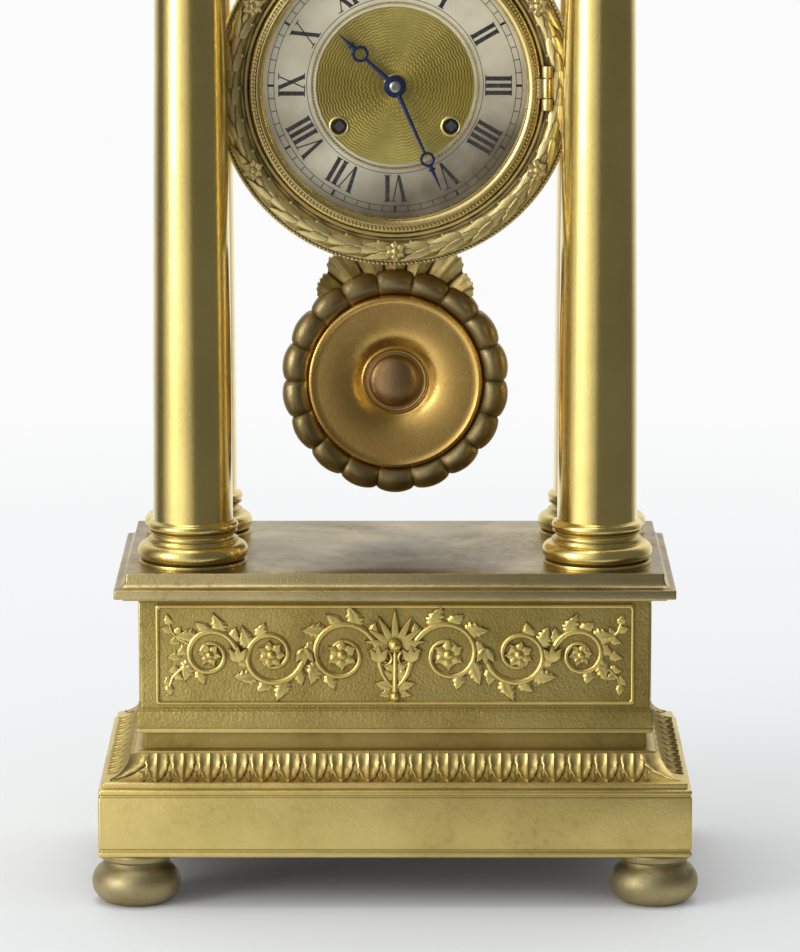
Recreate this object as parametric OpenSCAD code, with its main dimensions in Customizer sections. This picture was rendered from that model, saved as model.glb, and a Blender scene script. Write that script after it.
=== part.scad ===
// Four-column portico mantel clock in gilt bronze, with its spring-driven striking movement.
// The front faces -Y. The origin is on the table, under the middle of the four feet.

/* [Feet and base] */
// Diameter of each bun foot
foot_d = 36; // [30:1:40]
// Height of each bun foot
foot_h = 21; // [14:1:24]
// How far a foot stands out past the faces of the plinth block
foot_proud = 3; // [0:0.5:5]
// Width of the plinth block
plinth_w = 240; // [236:1:270]
// Depth of the plinth block
plinth_d = 142; // [138:1:170]
// Height of the plinth block
plinth_h = 28; // [22:1:36]
// Thickness of the floor plate inside the plinth block
floor_t = 4; // [3:0.5:6]
// Wall of the hollow castings of the base and the entablature
cast_wall = 5; // [4:0.5:7]
// Height of the leaf moulding, with its groove and fillet
leaf_h = 22; // [20:1:28]
// Width of the die, the block with the ornament
die_w = 206; // [200:1:214]
// Depth of the die
die_d = 107; // [100:1:116]
// Height of the die
die_h = 53.5; // [46:0.5:66]
// Thickness of the slab that the columns stand on
slab_h = 11; // [9:0.5:16]
// How far the slab stands out past the die
slab_out = 10; // [7:0.5:12]
// Thickness of the ornament on the die
mount_t = 2.5; // [1.5:0.5:4]

/* [Columns] */
// Distance of a column from the middle, across
col_x = 82; // [80:0.5:86]
// Distance of a column from the middle, front to back
col_y = 33; // [30:0.5:35]
// Diameter of a column at its foot
col_foot_d = 32.4; // [30:0.2:34]
// Diameter of a column at its top
col_top_d = 28.4; // [26:0.2:30]
// Diameter of the widest ring of a column base
base_d = 45; // [42:0.5:46]
// Height of a column base
base_h = 18; // [16:1:24]
// Length of a plain column shaft
shaft_h = 228.5; // [215:0.5:250]
// Height of a capital
capital_h = 26; // [24:1:34]
// Width of the square slab of a capital
abacus_w = 40; // [36:0.5:44]
// Diameter of the tie rods inside the columns
rod_d = 6; // [5:0.5:8]

/* [Entablature] */
// Width of the architrave
arch_w = 206; // [204:1:214]
// Depth of the architrave
arch_d = 108; // [106:1:116]
// Height of the architrave
arch_h = 16; // [14:1:22]
// Height of the frieze
frieze_h = 28; // [22:1:40]
// Height of the cornice
cornice_h = 18; // [16:1:24]
// Height of the stepped top plate
top_h = 8; // [6:1:14]

/* [Drum and dial] */
// Outer diameter of the drum that holds the movement
drum_d = 118; // [118:0.5:122]
// Wall of the drum
drum_wall = 2; // [1.5:0.25:3]
// Outer diameter of the fixed ornamented bezel
bezel_d = 146; // [142:1:148]
// Diameter of the opening of the hinged bezel, through which the dial shows
sight_d = 106.4; // [106:0.2:108]
// Diameter of the chapter ring
chapter_d = 107.2; // [107:0.2:108]
// Diameter of the gilt centre of the dial
centre_d = 64; // [64:0.5:68]
// Thickness of the dial plates
dial_t = 1; // [0.8:0.1:1.2]
// Thickness of the glass
glass_t = 1.4; // [1.2:0.1:1.6]
// Length of the minute hand from the middle of the dial to its tip
minute_len = 46; // [36:1:49]
// Length of the hour hand from the middle of the dial to its tip
hour_len = 31; // [24:1:38]
// Minute of the hour that the hands show
shown_minute = 26; // [0:1:59]
// Hour that the hands show
shown_hour = 10; // [0:1:11]
// Diameter of the holes for the winding key
key_hole_d = 6.4; // [5.5:0.1:6.6]

/* [Movement] */
// Distance of each winding square from the middle of the dial, across
winding_x = 22.6; // [22.4:0.1:23.2]
// Distance of each winding square below the middle of the dial
winding_drop = 16.5; // [16:0.1:17]
// Distance between the two plates, inside
plate_gap = 29.8; // [29.8:0.1:31]
// Thickness of the front plate
front_plate_t = 2.2; // [1.8:0.1:2.2]
// Thickness of the back plate
back_plate_t = 2; // [1.6:0.1:2.4]
// Outer diameter of a spring barrel
barrel_d = 36; // [34:0.5:37]
// Diameter of a winding arbor in its bearings
winding_arbor_d = 5; // [4.5:0.1:5.4]
// Diameter of the wheel arbors
arbor_d = 1.6; // [1.4:0.1:1.6]
// Diameter of the pivots
pivot_d = 1.2; // [1:0.05:1.3]
// Diameter of the escape wheel
escape_d = 13; // [12:0.1:13.4]
// Number of teeth of the escape wheel
escape_teeth = 42; // [36:1:44]

/* [Pendulum, bell and hammer] */
// Distance of the middle of the bob below the middle of the dial
bob_drop = 129; // [122:1:134]
// Diameter of the bob
bob_d = 95; // [86:1:100]
// Width of the leaf-shaped cap on top of the bob
cap_w = 56; // [48:1:60]
// Height of that cap above the middle of the bob
cap_top = 55; // [52:1:58]
// Diameter of the pendulum rod
pendulum_rod_d = 3; // [2.4:0.1:3.2]
// Thickness of the suspension spring
suspension_t = 0.2; // [0.15:0.05:0.3]
// Diameter of the bell at its mouth
bell_d = 68; // [64:0.5:70]
// Wall of the bell
bell_wall = 1.8; // [1.4:0.1:2.4]
// Distance of the bell left of the middle of the dial
bell_x = 9; // [8.5:0.1:10]

/* [Clearances] */
// Radial clearance of a running fit
run_gap = 0.05; // [0.03:0.01:0.08]
// Clearance between pieces that are fitted but do not run
fit_gap = 0.05; // [0.03:0.01:0.1]
// Clearance between a moving piece and what it moves past
free_gap = 0.3; // [0.25:0.05:0.35]

/* [Hidden] */

$fn = 96;
eps = 0.01;
far = 400;

// Levels of the case, from the table up.
plinth_z = foot_h;
leaf_z = plinth_z + plinth_h;
die_z = leaf_z + leaf_h;
slab_z = die_z + die_h;
deck_z = slab_z + slab_h;
shaft_z = deck_z + base_h;
capital_z = shaft_z + shaft_h;
arch_z = capital_z + capital_h;
frieze_z = arch_z + arch_h;
cornice_z = frieze_z + frieze_h;
top_z = cornice_z + cornice_h;

// Base details.
foot_x = plinth_w / 2 - foot_d / 2 + foot_proud;
foot_y = plinth_d / 2 - foot_d / 2 + foot_proud;
foot_neck_r = foot_d * 0.36;
foot_stud_r = 4;
band_h = 8;
band_out = 1.5;
groove_in = 1.5;
slab_top_in = 5;
slab_fillet_h = 5;
rod_r = rod_d / 2;
rod_hole_r = rod_r + fit_gap;
nut_h = 5;
nut_r = rod_r * 1.8;
floor_w = plinth_w - 2 * cast_wall - 2 * fit_gap;
floor_d = plinth_d - 2 * cast_wall - 2 * fit_gap;

// Drum and dial. Depths are measured along Y from the middle of the case, front negative.
dial_gap = 7.6;
dial_z = arch_z - dial_gap - bezel_d / 2;
drum_r = drum_d / 2;
drum_in_r = drum_r - drum_wall;
drum_y = -8;
drum_back_y = 52;
bezel_t = 12;
bezel_y = drum_y - bezel_t;
seat_r = chapter_d / 2 - 1;
dial_y = -12 - dial_t;
door_r = drum_r - free_gap;
door_y = -24;
door_back_y = dial_y - 0.5;
glass_r = door_r - 2.6;
hinge_pin_r = 1;
knuckle_r = 2.3;
glass_y = -21;
flange_r = centre_d / 2 + 2.5;
pipe_hole_r = 3.6;
foot_ring_r = 44;
dial_foot_r = 1.5;
hinge_x = door_r + knuckle_r + free_gap;
hinge_y = -22.5;
knuckle_z = 4.2;
knuckle_len = 4.8;
rear_hinge_x = -(drum_r + 2.6);
rear_hinge_y = drum_back_y + 1.4;
cover_y = drum_back_y + free_gap;
cover_flange = 2.7;
cover_dome = 70;
cover_wall = 1.5;
slot_w = 24;
slot_d = 8;
lug_y = -11;
lug_r = 4;

// Saddle that hangs the drum from the architrave.
hanger_w = 44;
hanger_y = 0;
hanger_d = 34;
hanger_mid_y = hanger_y + hanger_d / 2;
hanger_screw_x = [-14, 14];
hanger_thread = 6;

// Hands and their pipes.
hand_nut_y = glass_y + glass_t + 1;
minute_hand_y = hand_nut_y + 1.6;
hour_hand_y = minute_hand_y + 1.6;
hand_t = 0.7;
cannon_r = 2.1;
hour_pipe_r = 3;
minute_turn = 90 - shown_minute * 6;
hour_turn = 90 - (shown_hour + shown_minute / 60) * 30;

// Movement levels along Y.
back_plate_y = 29;
plate_back_y = back_plate_y - plate_gap;
front_plate_y = plate_back_y - front_plate_t;
back_plate_back_y = back_plate_y + back_plate_t;
plate_r = drum_in_r - free_gap;
shake = 0.2;
arbor_r = arbor_d / 2;
pivot_r = pivot_d / 2;
pivot_hole_r = pivot_r + run_gap;
winding_r = winding_arbor_d / 2;
barrel_r = barrel_d / 2;
barrel_wall = 1.5;
great_t = 2;
great_y = 3;
barrel_y = great_y + great_t;
barrel_back_y = 24;
wheel_t = 1;
second_y = 0.8;
centre_pinion_y = 0.4;
pinion_t = 2;
centre_y = 24.5;
third_y = 14;
escape_y = 24;
pin_y = 6;
pin_len = 3;
locking_y = 10.5;
warning_y = 18;
fly_y = 20.5;
fly_len = 7.5;
fly_half = 4.5;

// Teeth: share of the module above and below the pitch circle, and half widths as a share of the pitch.
wheel_add = 0.9;
wheel_ded = 1.1;
pinion_add = 0.6;
pinion_ded = 1.2;
root_half = 0.24;
tip_half = 0.09;
pinion_root_half = 0.2;
pinion_tip_half = 0.1;

// Going train: teeth and modules of each pair.
barrel_teeth = 84;
second_pinion = 12;
barrel_m = 0.5;
second_teeth = 72;
centre_pinion = 10;
second_m = 0.45;
centre_teeth = 84;
third_pinion = 8;
centre_m = 0.4;
third_teeth = 80;
escape_pinion = 8;
third_m = 0.35;

// Motion work behind the dial.
motion_m = 0.6;
cannon_teeth = 10;
minute_teeth = 30;
minute_pinion = 8;
hour_teeth = 32;
motion_t = 1.4;
motion_y = -5;
hour_y = -6.8;

// Striking train.
strike_second_teeth = 72;
pin_pinion = 8;
strike_second_m = 0.45;
pin_teeth = 60;
locking_pinion = 8;
pin_m = 0.4;
locking_teeth = 54;
warning_pinion = 8;
locking_m = 0.35;
warning_teeth = 40;
fly_pinion = 8;
warning_m = 0.3;
strike_pins = 10;

// Distance between the axes of two gears in mesh.
function mesh(teeth_a, teeth_b, m) = (teeth_a + teeth_b) * m / 2;
// Direction from one point to another, in degrees.
function heading(a, b) = atan2(b[1] - a[1], b[0] - a[0]);
// Point at a distance and direction from another.
function go(a, dist, ang) = a + dist * [cos(ang), sin(ang)];
// Distance between two points.
function span(a, b) = norm(b - a);
// Point at distance ra from a and rb from b, on the left of the way from a to b.
function meet(a, ra, b, rb) =
    let (d = span(a, b), lean = acos((ra * ra + d * d - rb * rb) / (2 * ra * d)))
    go(a, ra, heading(a, b) + lean);
// Points of an arc.
function arc(cx, cy, r, from, to, n = 6) =
    [for (i = [0 : n]) let (a = from + (to - from) * i / n) [cx + r * cos(a), cy + r * sin(a)]];
// Hollow quarter curve that leaves the first point flat and reaches the second upright.
function hollow(a, b, n = 6) =
    [for (i = [0 : n]) let (t = 90 * i / n) [a[0] + (b[0] - a[0]) * sin(t), a[1] + (b[1] - a[1]) * (1 - cos(t))]];
// Round quarter curve that leaves the first point upright and reaches the second flat.
function round_out(a, b, n = 6) =
    [for (i = [0 : n]) let (t = 90 * i / n) [a[0] + (b[0] - a[0]) * (1 - cos(t)), a[1] + (b[1] - a[1]) * sin(t)]];

// Axes of the movement, as [across, up] from the middle of the dial.
middle = [0, 0];
going_at = [winding_x, -winding_drop];
strike_at = [-winding_x, -winding_drop];
great_mesh = mesh(barrel_teeth, second_pinion, barrel_m);
second_at = meet(middle, mesh(second_teeth, centre_pinion, second_m), going_at, great_mesh);
third_turn = 84;
third_at = go(middle, mesh(centre_teeth, third_pinion, centre_m), third_turn);
escape_mesh = mesh(third_teeth, escape_pinion, third_m);
escape_at = [0, third_at[1] + sqrt(escape_mesh * escape_mesh - third_at[0] * third_at[0])];
pallet_rise = 9.2;
pallet_at = [0, escape_at[1] + pallet_rise];
minute_at = [0, -mesh(cannon_teeth, minute_teeth, motion_m)];
strike_second_at = go(strike_at, great_mesh, 100);
pin_at = go(strike_second_at, mesh(strike_second_teeth, pin_pinion, strike_second_m), 80);
locking_at = go(pin_at, mesh(pin_teeth, locking_pinion, pin_m), 30);
warning_at = go(locking_at, mesh(locking_teeth, warning_pinion, locking_m), 75);
fly_at = go(warning_at, mesh(warning_teeth, fly_pinion, warning_m), 180);
pillar_at = [[0, -46], [46, 14], [-46, 14], [30, 40], [-30, 42]];
screw_at = [[50, -14], [-50, -14]];
// Every arbor that pivots in both plates.
train_at = [second_at, middle, third_at, escape_at, strike_second_at, pin_at, locking_at, warning_at,
    fly_at];
pillar_r = 3;
pillar_pivot_r = 1.6;
screw_r = 1.4;
ratchet_r = 8;
ratchet_teeth = 24;
ratchet_t = 1.5;
ratchet_y = -5.5;
click_reach = 12.5;
click_arm = 9;
click_spread = 43;
click_t = 1.3;
stud_r = 1.2;
hammer_at = [-44, 30];
bell_at = [-bell_x, 0];
bell_y = 44;
bell_back_y = 58;
rod_y = 38;
crutch_y = back_plate_back_y + 1.2;
crutch_t = 1.2;
crutch_z = 10;
cock_y = 34;
cock_t = 2.5;
cock_x = 14;
suspension_x = 3;
suspension_top = 5.7;
suspension_low = 9;
chop_h = 4;
rod_below = 18;
lobe_t = 8;
cap_t = 6;
rod_top = pallet_at[1] - suspension_low - chop_h;
rod_low = -bob_drop - rod_below;

// Case helpers.

// Solid block with a moulding run round it: each profile point is [outset, height].
module moulded_block(w, d, profile) {
    last = len(profile) - 1;
    intersection() {
        rotate([90, 0, 0])
            linear_extrude(far, center = true)
                polygon(concat([for (p = profile) [w / 2 + p[0], p[1]]],
                    [for (i = [last : -1 : 0]) [-w / 2 - profile[i][0], profile[i][1]]]));
        rotate([90, 0, 90])
            linear_extrude(far, center = true)
                polygon(concat([for (p = profile) [d / 2 + p[0], p[1]]],
                    [for (i = [last : -1 : 0]) [-d / 2 - profile[i][0], profile[i][1]]]));
    }
}

// Box centred on the Z axis.
module centred_box(w, d, h) {
    translate([-w / 2, -d / 2, 0])
        cube([w, d, h]);
}

// Puts its children on the axis of each column.
module each_column() {
    for (sx = [-1, 1], sy = [-1, 1])
        translate([sx * col_x, sy * col_y, 0])
            children();
}

// Holes for the four tie rods.
module rod_holes(z, h) {
    each_column()
        translate([0, 0, z - eps])
            cylinder(h = h + 2 * eps, r = rod_hole_r);
}

// Movement helpers: a point p is [across, up] from the middle of the dial.

// Flat shape drawn as seen from the front, thickened from depth y back by t.
module slice(p, y, t) {
    translate([p[0], y + t, dial_z + p[1]])
        rotate([90, 0, 0])
            linear_extrude(t)
                children();
}

// Round bar along Y.
module bar(p, r, y, t) {
    translate([p[0], y + t, dial_z + p[1]])
        rotate([90, 0, 0])
            cylinder(h = t, r = r);
}

// Body turned round the Y axis through p, from points [radius, depth].
module turned(p, points) {
    translate([p[0], 0, dial_z + p[1]])
        rotate([90, 0, 0])
            rotate_extrude()
                polygon([for (q = points) [q[0], -q[1]]]);
}

// Outline of a gear whose first tooth points in the direction given.
function gear_points(teeth, m, turn, add, ded, root, tip) =
    let (r = teeth * m / 2, pitch = 360 / teeth)
    [for (i = [0 : teeth - 1])
        for (q = [[-root, r - ded * m], [-tip, r + add * m], [tip, r + add * m], [root, r - ded * m]])
            let (a = turn + (i + q[0]) * pitch) q[1] * [cos(a), sin(a)]];

// Wheel with a tooth in the direction of turn and five round holes that lighten it.
module wheel(p, teeth, m, turn, y, t) {
    r = teeth * m / 2;
    holes = 5;
    difference() {
        slice(p, y, t)
            polygon(gear_points(teeth, m, turn, wheel_add, wheel_ded, root_half, tip_half));
        for (i = [0 : holes - 1])
            bar(go(p, r * 0.58, 360 * i / holes), r * 0.24, y - 1, t + 2);
    }
}

// Pinion with a gap in the direction of turn.
module pinion(p, teeth, m, turn, y, t) {
    slice(p, y, t)
        polygon(gear_points(teeth, m, turn + 180 / teeth, pinion_add, pinion_ded,
            pinion_root_half, pinion_tip_half));
}

// Arbor between the plates, with a pivot at each end.
module arbor(p) {
    bar(p, arbor_r, plate_back_y + shake, plate_gap - 2 * shake);
    bar(p, pivot_r, front_plate_y + shake, back_plate_back_y - front_plate_y - 2 * shake);
}

// Holes in both plates for the pivots of an arbor.
module pivot_holes(points) {
    for (p = points)
        bar(p, pivot_hole_r, front_plate_y - 1, back_plate_back_y - front_plate_y + 2);
}

// Hinge knuckles and pins: upright round bars.
module upright(x, y, r, z, h) {
    translate([x, y, dial_z + z])
        cylinder(h = h, r = r, $fn = 48);
}

// Case.

module bun_feet() {
    color("goldenrod")
        for (sx = [-1, 1], sy = [-1, 1])
            translate([sx * foot_x, sy * foot_y, 0]) {
                rotate_extrude()
                    polygon(concat([[0, 0], [foot_d * 0.3, 0]],
                        arc(foot_d / 2 - foot_h * 0.4, foot_h * 0.4, foot_h * 0.4, -70, 70, 10),
                        [[foot_neck_r, foot_h * 0.82], [foot_neck_r + 1.5, foot_h * 0.86],
                            [foot_neck_r + 1.5, foot_h], [0, foot_h]]));
                translate([0, 0, foot_h - eps])
                    cylinder(h = floor_t, r = foot_stud_r);
            }
}

module base_floor() {
    color("peru")
        difference() {
            translate([0, 0, plinth_z])
                centred_box(floor_w, floor_d, floor_t);
            for (sx = [-1, 1], sy = [-1, 1])
                translate([sx * foot_x, sy * foot_y, plinth_z - 1])
                    cylinder(h = floor_t + 2, r = foot_stud_r + fit_gap);
        }
}

module plinth_block() {
    edge = 1;
    color("gold")
        difference() {
            translate([0, 0, plinth_z])
                moulded_block(plinth_w, plinth_d,
                    [[-edge, 0], [0, edge], [0, plinth_h - 2 * edge], [-2 * edge, plinth_h]]);
            translate([0, 0, plinth_z - 1])
                centred_box(plinth_w - 2 * cast_wall, plinth_d - 2 * cast_wall, plinth_h + 2);
        }
}

module leaf_moulding() {
    lip = (plinth_w - die_w) / 2 - 2;
    leaf_top = leaf_h - band_h;
    color("goldenrod")
        difference() {
            translate([0, 0, leaf_z])
                moulded_block(die_w, die_d, concat([[lip, 0]], [[lip, 2]],
                    hollow([lip - 1, 3], [3.5, leaf_top - 2]), [[2.5, leaf_top - 2], [2.5, leaf_top]],
                    [[-groove_in, leaf_top], [-groove_in, leaf_h - 3], [band_out, leaf_h - 3],
                        [band_out, leaf_h]]));
            translate([0, 0, leaf_z - 1])
                centred_box(die_w - 2 * cast_wall, die_d - 2 * cast_wall, leaf_h + 2);
        }
}

module die() {
    color("darkgoldenrod")
        difference() {
            translate([0, 0, die_z])
                moulded_block(die_w, die_d, [[band_out, 0], [band_out, band_h - 1], [0, band_h], [0, die_h]]);
            translate([0, 0, die_z - 1])
                centred_box(die_w - 2 * cast_wall, die_d - 2 * cast_wall, die_h + 2);
        }
}

// Scrolling foliage in low relief: linked rings with a rosette in each, round an upright palmette.
module base_mount() {
    field = die_h - band_h;
    ring_r = field * 0.34;
    ring_w = 2.6;
    shrink = 0.8;
    lobes = 9;
    fan_r = field * 0.42;
    mid_z = die_z + band_h + field / 2;
    pitch = ring_r * 2 - ring_w / 2;
    color("gold")
        translate([0, -die_d / 2, mid_z])
            rotate([90, 0, 0]) {
                for (side = [-1, 1], i = [0 : 2])
                    translate([side * (pitch * (i + 0.5) + ring_r * 0.62), 0, 0]) {
                        difference() {
                            cylinder(h = mount_t, r = ring_r - i * shrink);
                            translate([0, 0, -1])
                                cylinder(h = mount_t + 2, r = ring_r - i * shrink - ring_w);
                        }
                        cylinder(h = mount_t, r = ring_r * 0.4);
                    }
                linear_extrude(mount_t * 1.2)
                    polygon([for (i = [0 : 8 * lobes - 1]) let (a = i * 45 / lobes)
                        fan_r * (0.62 + 0.38 * abs(cos(a * lobes / 4))) * [0.6 * sin(a), cos(a)]]);
            }
}

module base_top() {
    color("gold")
        difference() {
            translate([0, 0, slab_z])
                moulded_block(die_w, die_d, concat([[slab_out, 0], [slab_out, slab_fillet_h]],
                    hollow([slab_out - 1, slab_fillet_h], [slab_out - slab_top_in, slab_h])));
            rod_holes(slab_z, slab_h);
        }
}

// Low round base under each column: a fat ring, a hollow and a thin ring.
module column_bases() {
    r = base_d / 2;
    ring_r = base_h * 0.2;
    thin_r = base_h * 0.1;
    hollow_r = base_h * 0.083;
    ledge_r = r - ring_r - 0.5;
    shaft_r = col_foot_d / 2;
    color("gold")
        each_column()
            translate([0, 0, deck_z])
                rotate_extrude()
                    polygon(concat([[rod_hole_r, 0], [r - 0.5, 0], [r - 0.5, base_h * 0.08]],
                        arc(r - ring_r, base_h * 0.29, ring_r, -80, 80, 8),
                        [[ledge_r, base_h * 0.52], [ledge_r, base_h * 0.57]],
                        arc(shaft_r + 2, base_h * 0.655, hollow_r, -90, -270, 8),
                        arc(shaft_r + 0.5, base_h * 0.87, thin_r, -80, 80, 6),
                        [[shaft_r + 0.3, base_h], [rod_hole_r, base_h]]));
}

module columns() {
    color("khaki")
        each_column()
            translate([0, 0, shaft_z])
                rotate_extrude()
                    polygon([[rod_hole_r, 0], [col_foot_d / 2, 0], [col_top_d / 2, shaft_h],
                        [rod_hole_r, shaft_h]]);
}

module capitals() {
    neck_r = col_top_d / 2;
    abacus_h = capital_h * 0.3;
    bell_h = capital_h - abacus_h;
    color("gold")
        each_column()
            translate([0, 0, capital_z])
                difference() {
                    union() {
                        rotate_extrude()
                            polygon(concat([[0, 0]], arc(neck_r, 1.6, 1.6, -90, 90, 8),
                                [[neck_r, 3.4], [neck_r, bell_h * 0.45], [neck_r + 1.2, bell_h * 0.47]],
                                round_out([neck_r + 1.2, bell_h * 0.55], [abacus_w / 2 - 1.2, bell_h]),
                                [[0, bell_h]]));
                        translate([0, 0, bell_h - eps])
                            centred_box(abacus_w, abacus_w, abacus_h + eps);
                    }
                    translate([0, 0, -1])
                        cylinder(h = capital_h + 2, r = rod_hole_r);
                }
}

// Rods that pull the entablature down on the columns, each with a nut at both ends.
module tie_rods() {
    pocket_z = arch_z + cast_wall;
    low = slab_z - nut_h - 2;
    color("dimgray")
        each_column() {
            translate([0, 0, low])
                cylinder(h = pocket_z + nut_h + 2 - low, r = rod_r);
            for (z = [slab_z - nut_h, pocket_z])
                translate([0, 0, z])
                    difference() {
                        cylinder(h = nut_h, r = nut_r, $fn = 6);
                        translate([0, 0, -1])
                            cylinder(h = nut_h + 2, r = rod_hole_r);
                    }
        }
}

module architrave() {
    color("darkgoldenrod")
        difference() {
            translate([0, 0, arch_z])
                moulded_block(arch_w, arch_d, [[0, 0], [0, arch_h * 0.3], [1, arch_h * 0.3],
                    [1, arch_h * 0.65], [2, arch_h * 0.65], [2, arch_h * 0.8], [3.5, arch_h * 0.85],
                    [3.5, arch_h]]);
            translate([0, 0, arch_z + cast_wall])
                centred_box(arch_w - 2 * cast_wall, arch_d - 2 * cast_wall, arch_h);
            rod_holes(arch_z, cast_wall);
            for (x = hanger_screw_x)
                translate([x, hanger_mid_y, arch_z - 1])
                    cylinder(h = cast_wall + 2, r = screw_r + fit_gap);
        }
}

module frieze() {
    color("goldenrod")
        difference() {
            translate([0, 0, frieze_z])
                centred_box(arch_w, arch_d, frieze_h);
            translate([0, 0, frieze_z - 1])
                centred_box(arch_w - 2 * cast_wall, arch_d - 2 * cast_wall, frieze_h + 2);
        }
}

// Wreath in the middle of the frieze and a rosette over each front column.
module frieze_mount() {
    wreath_r = frieze_h * 0.36;
    wreath_w = 2.2;
    color("gold")
        translate([0, -arch_d / 2, frieze_z + frieze_h / 2])
            rotate([90, 0, 0]) {
                difference() {
                    cylinder(h = mount_t, r = wreath_r);
                    translate([0, 0, -1])
                        cylinder(h = mount_t + 2, r = wreath_r - wreath_w);
                }
                for (side = [-1, 1]) {
                    translate([side * col_x, 0, 0])
                        cylinder(h = mount_t, r = wreath_r * 0.9);
                    translate([side * (wreath_r + 22) - 20, -1.2, 0])
                        cube([40, 2.4, mount_t * 0.8]);
                }
            }
}

module cornice() {
    out = 12;
    color("gold")
        difference() {
            translate([0, 0, cornice_z])
                moulded_block(arch_w, arch_d, concat([[0, 0], [1.5, 0], [1.5, 2]],
                    hollow([2, 2], [out * 0.6, cornice_h * 0.5]),
                    [[out * 0.75, cornice_h * 0.5], [out * 0.75, cornice_h * 0.68]],
                    round_out([out * 0.8, cornice_h * 0.7], [out, cornice_h * 0.9]), [[out, cornice_h]]));
            translate([0, 0, cornice_z - 1])
                centred_box(arch_w - 2 * cast_wall, arch_d - 2 * cast_wall, cornice_h + 2);
        }
}

module top_plate() {
    color("goldenrod")
        translate([0, 0, top_z])
            moulded_block(arch_w, arch_d, [[5, 0], [5, top_h * 0.4], [0, top_h * 0.45], [-2, top_h * 0.9],
                [-4, top_h]]);
}

// Drum, bezels and dial.

// Saddle between the drum and the underside of the architrave.
module drum_hanger() {
    color("darkkhaki")
        difference() {
            translate([-hanger_w / 2, hanger_y, dial_z])
                cube([hanger_w, hanger_d, arch_z - dial_z]);
            bar(middle, drum_r + fit_gap, hanger_y - 1, hanger_d + 2);
            translate([-hanger_w / 2 - 1, hanger_y - 1, dial_z - 1])
                cube([hanger_w + 2, hanger_d + 2, drum_r * 0.9 + 1]);
            for (x = hanger_screw_x)
                translate([x, hanger_mid_y, arch_z - hanger_thread - 1])
                    cylinder(h = hanger_thread + 2, r = screw_r + fit_gap);
        }
}

// Two screws that hold the hanger, and two long ones that clamp the movement in the drum.
module case_screws() {
    head_h = 2;
    lug_back_y = drum_back_y - 2;
    color("steelblue") {
        for (x = hanger_screw_x)
            translate([x, hanger_mid_y, arch_z - hanger_thread]) {
                cylinder(h = hanger_thread + cast_wall, r = screw_r);
                translate([0, 0, hanger_thread + cast_wall])
                    cylinder(h = head_h, r = screw_r * 2);
            }
        for (p = screw_at) {
            bar(p, screw_r, lug_y, lug_back_y - lug_y);
            bar(p, screw_r * 1.9, lug_back_y, head_h);
        }
    }
}

// Lug that takes a long screw, reaching in from a ring of radius r.
module lug(p, r, y, t) {
    difference() {
        intersection() {
            union() {
                bar(p, lug_r, y, t);
                slice(p, y, t)
                    rotate(heading(middle, p))
                        translate([0, -lug_r])
                            square([lug_r * 3, 2 * lug_r]);
            }
            bar(middle, r, y - 1, t + 2);
        }
        bar(p, screw_r + fit_gap, y - 1, t + 2);
    }
}

module drum() {
    color("tan")
        difference() {
            union() {
                difference() {
                    bar(middle, drum_r, drum_y, drum_back_y - drum_y);
                    bar(middle, drum_in_r, drum_y - 1, drum_back_y - drum_y + 2);
                }
                for (p = screw_at)
                    lug(p, drum_r - drum_wall / 2, drum_back_y - 4, 2);
                for (side = [0, 1])
                    mirror([0, 0, side])
                        translate([0, 0, side * -2 * dial_z])
                            rear_knuckle();
            }
            upright(rear_hinge_x, rear_hinge_y, hinge_pin_r + fit_gap, -2 * knuckle_r - 9, 30);
            translate([-slot_w / 2, rod_y - slot_d / 2, dial_z - drum_r - 1])
                cube([slot_w, slot_d, drum_wall * 3 + 1]);
        }
}

// Upper fixed knuckle of the hinge of the rear cover, on the side of the drum.
module rear_knuckle() {
    upright(rear_hinge_x, rear_hinge_y, knuckle_r, knuckle_z, knuckle_len);
    translate([rear_hinge_x, drum_back_y - 5, dial_z + knuckle_z])
        cube([-rear_hinge_x - drum_in_r - drum_wall / 4, 5, knuckle_len]);
}

// Fixed ornamented ring in front of the drum, with the seat of the dial.
module outer_bezel() {
    r = bezel_d / 2;
    inner = drum_r;
    crest = (r + inner) / 2 + 1;
    color("gold")
        difference() {
            union() {
                turned(middle, concat([[seat_r, -12], [inner, -12], [inner, bezel_y + 3.4],
                    [inner + 2, bezel_y + 1.6], [crest - 1, bezel_y]],
                    arc(crest + 1, bezel_y + 4, 4, -90, -30, 5),
                    [[r - 2, bezel_y + 7], [r, bezel_y + 8.5], [r, drum_y], [seat_r, drum_y]]));
                for (p = screw_at)
                    lug(p, seat_r + 1, lug_y, drum_y - lug_y);
                for (side = [0, 1])
                    mirror([0, 0, side])
                        translate([0, 0, side * -2 * dial_z])
                            front_knuckle();
            }
            upright(hinge_x, hinge_y, hinge_pin_r + fit_gap, -knuckle_z - knuckle_len - 1,
                2 * (knuckle_z + knuckle_len + 1));
            for (p = screw_at)
                bar(p, screw_r + fit_gap, lug_y - 1, drum_y - lug_y + 2);
        }
}

// Upper fixed knuckle of the hinge of the glazed bezel.
module front_knuckle() {
    root = bezel_y + 3.5 - hinge_y;
    upright(hinge_x, hinge_y, knuckle_r, knuckle_z, knuckle_len);
    translate([hinge_x - 1, hinge_y, dial_z + knuckle_z])
        cube([knuckle_r + 1, root, knuckle_len]);
}

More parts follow.
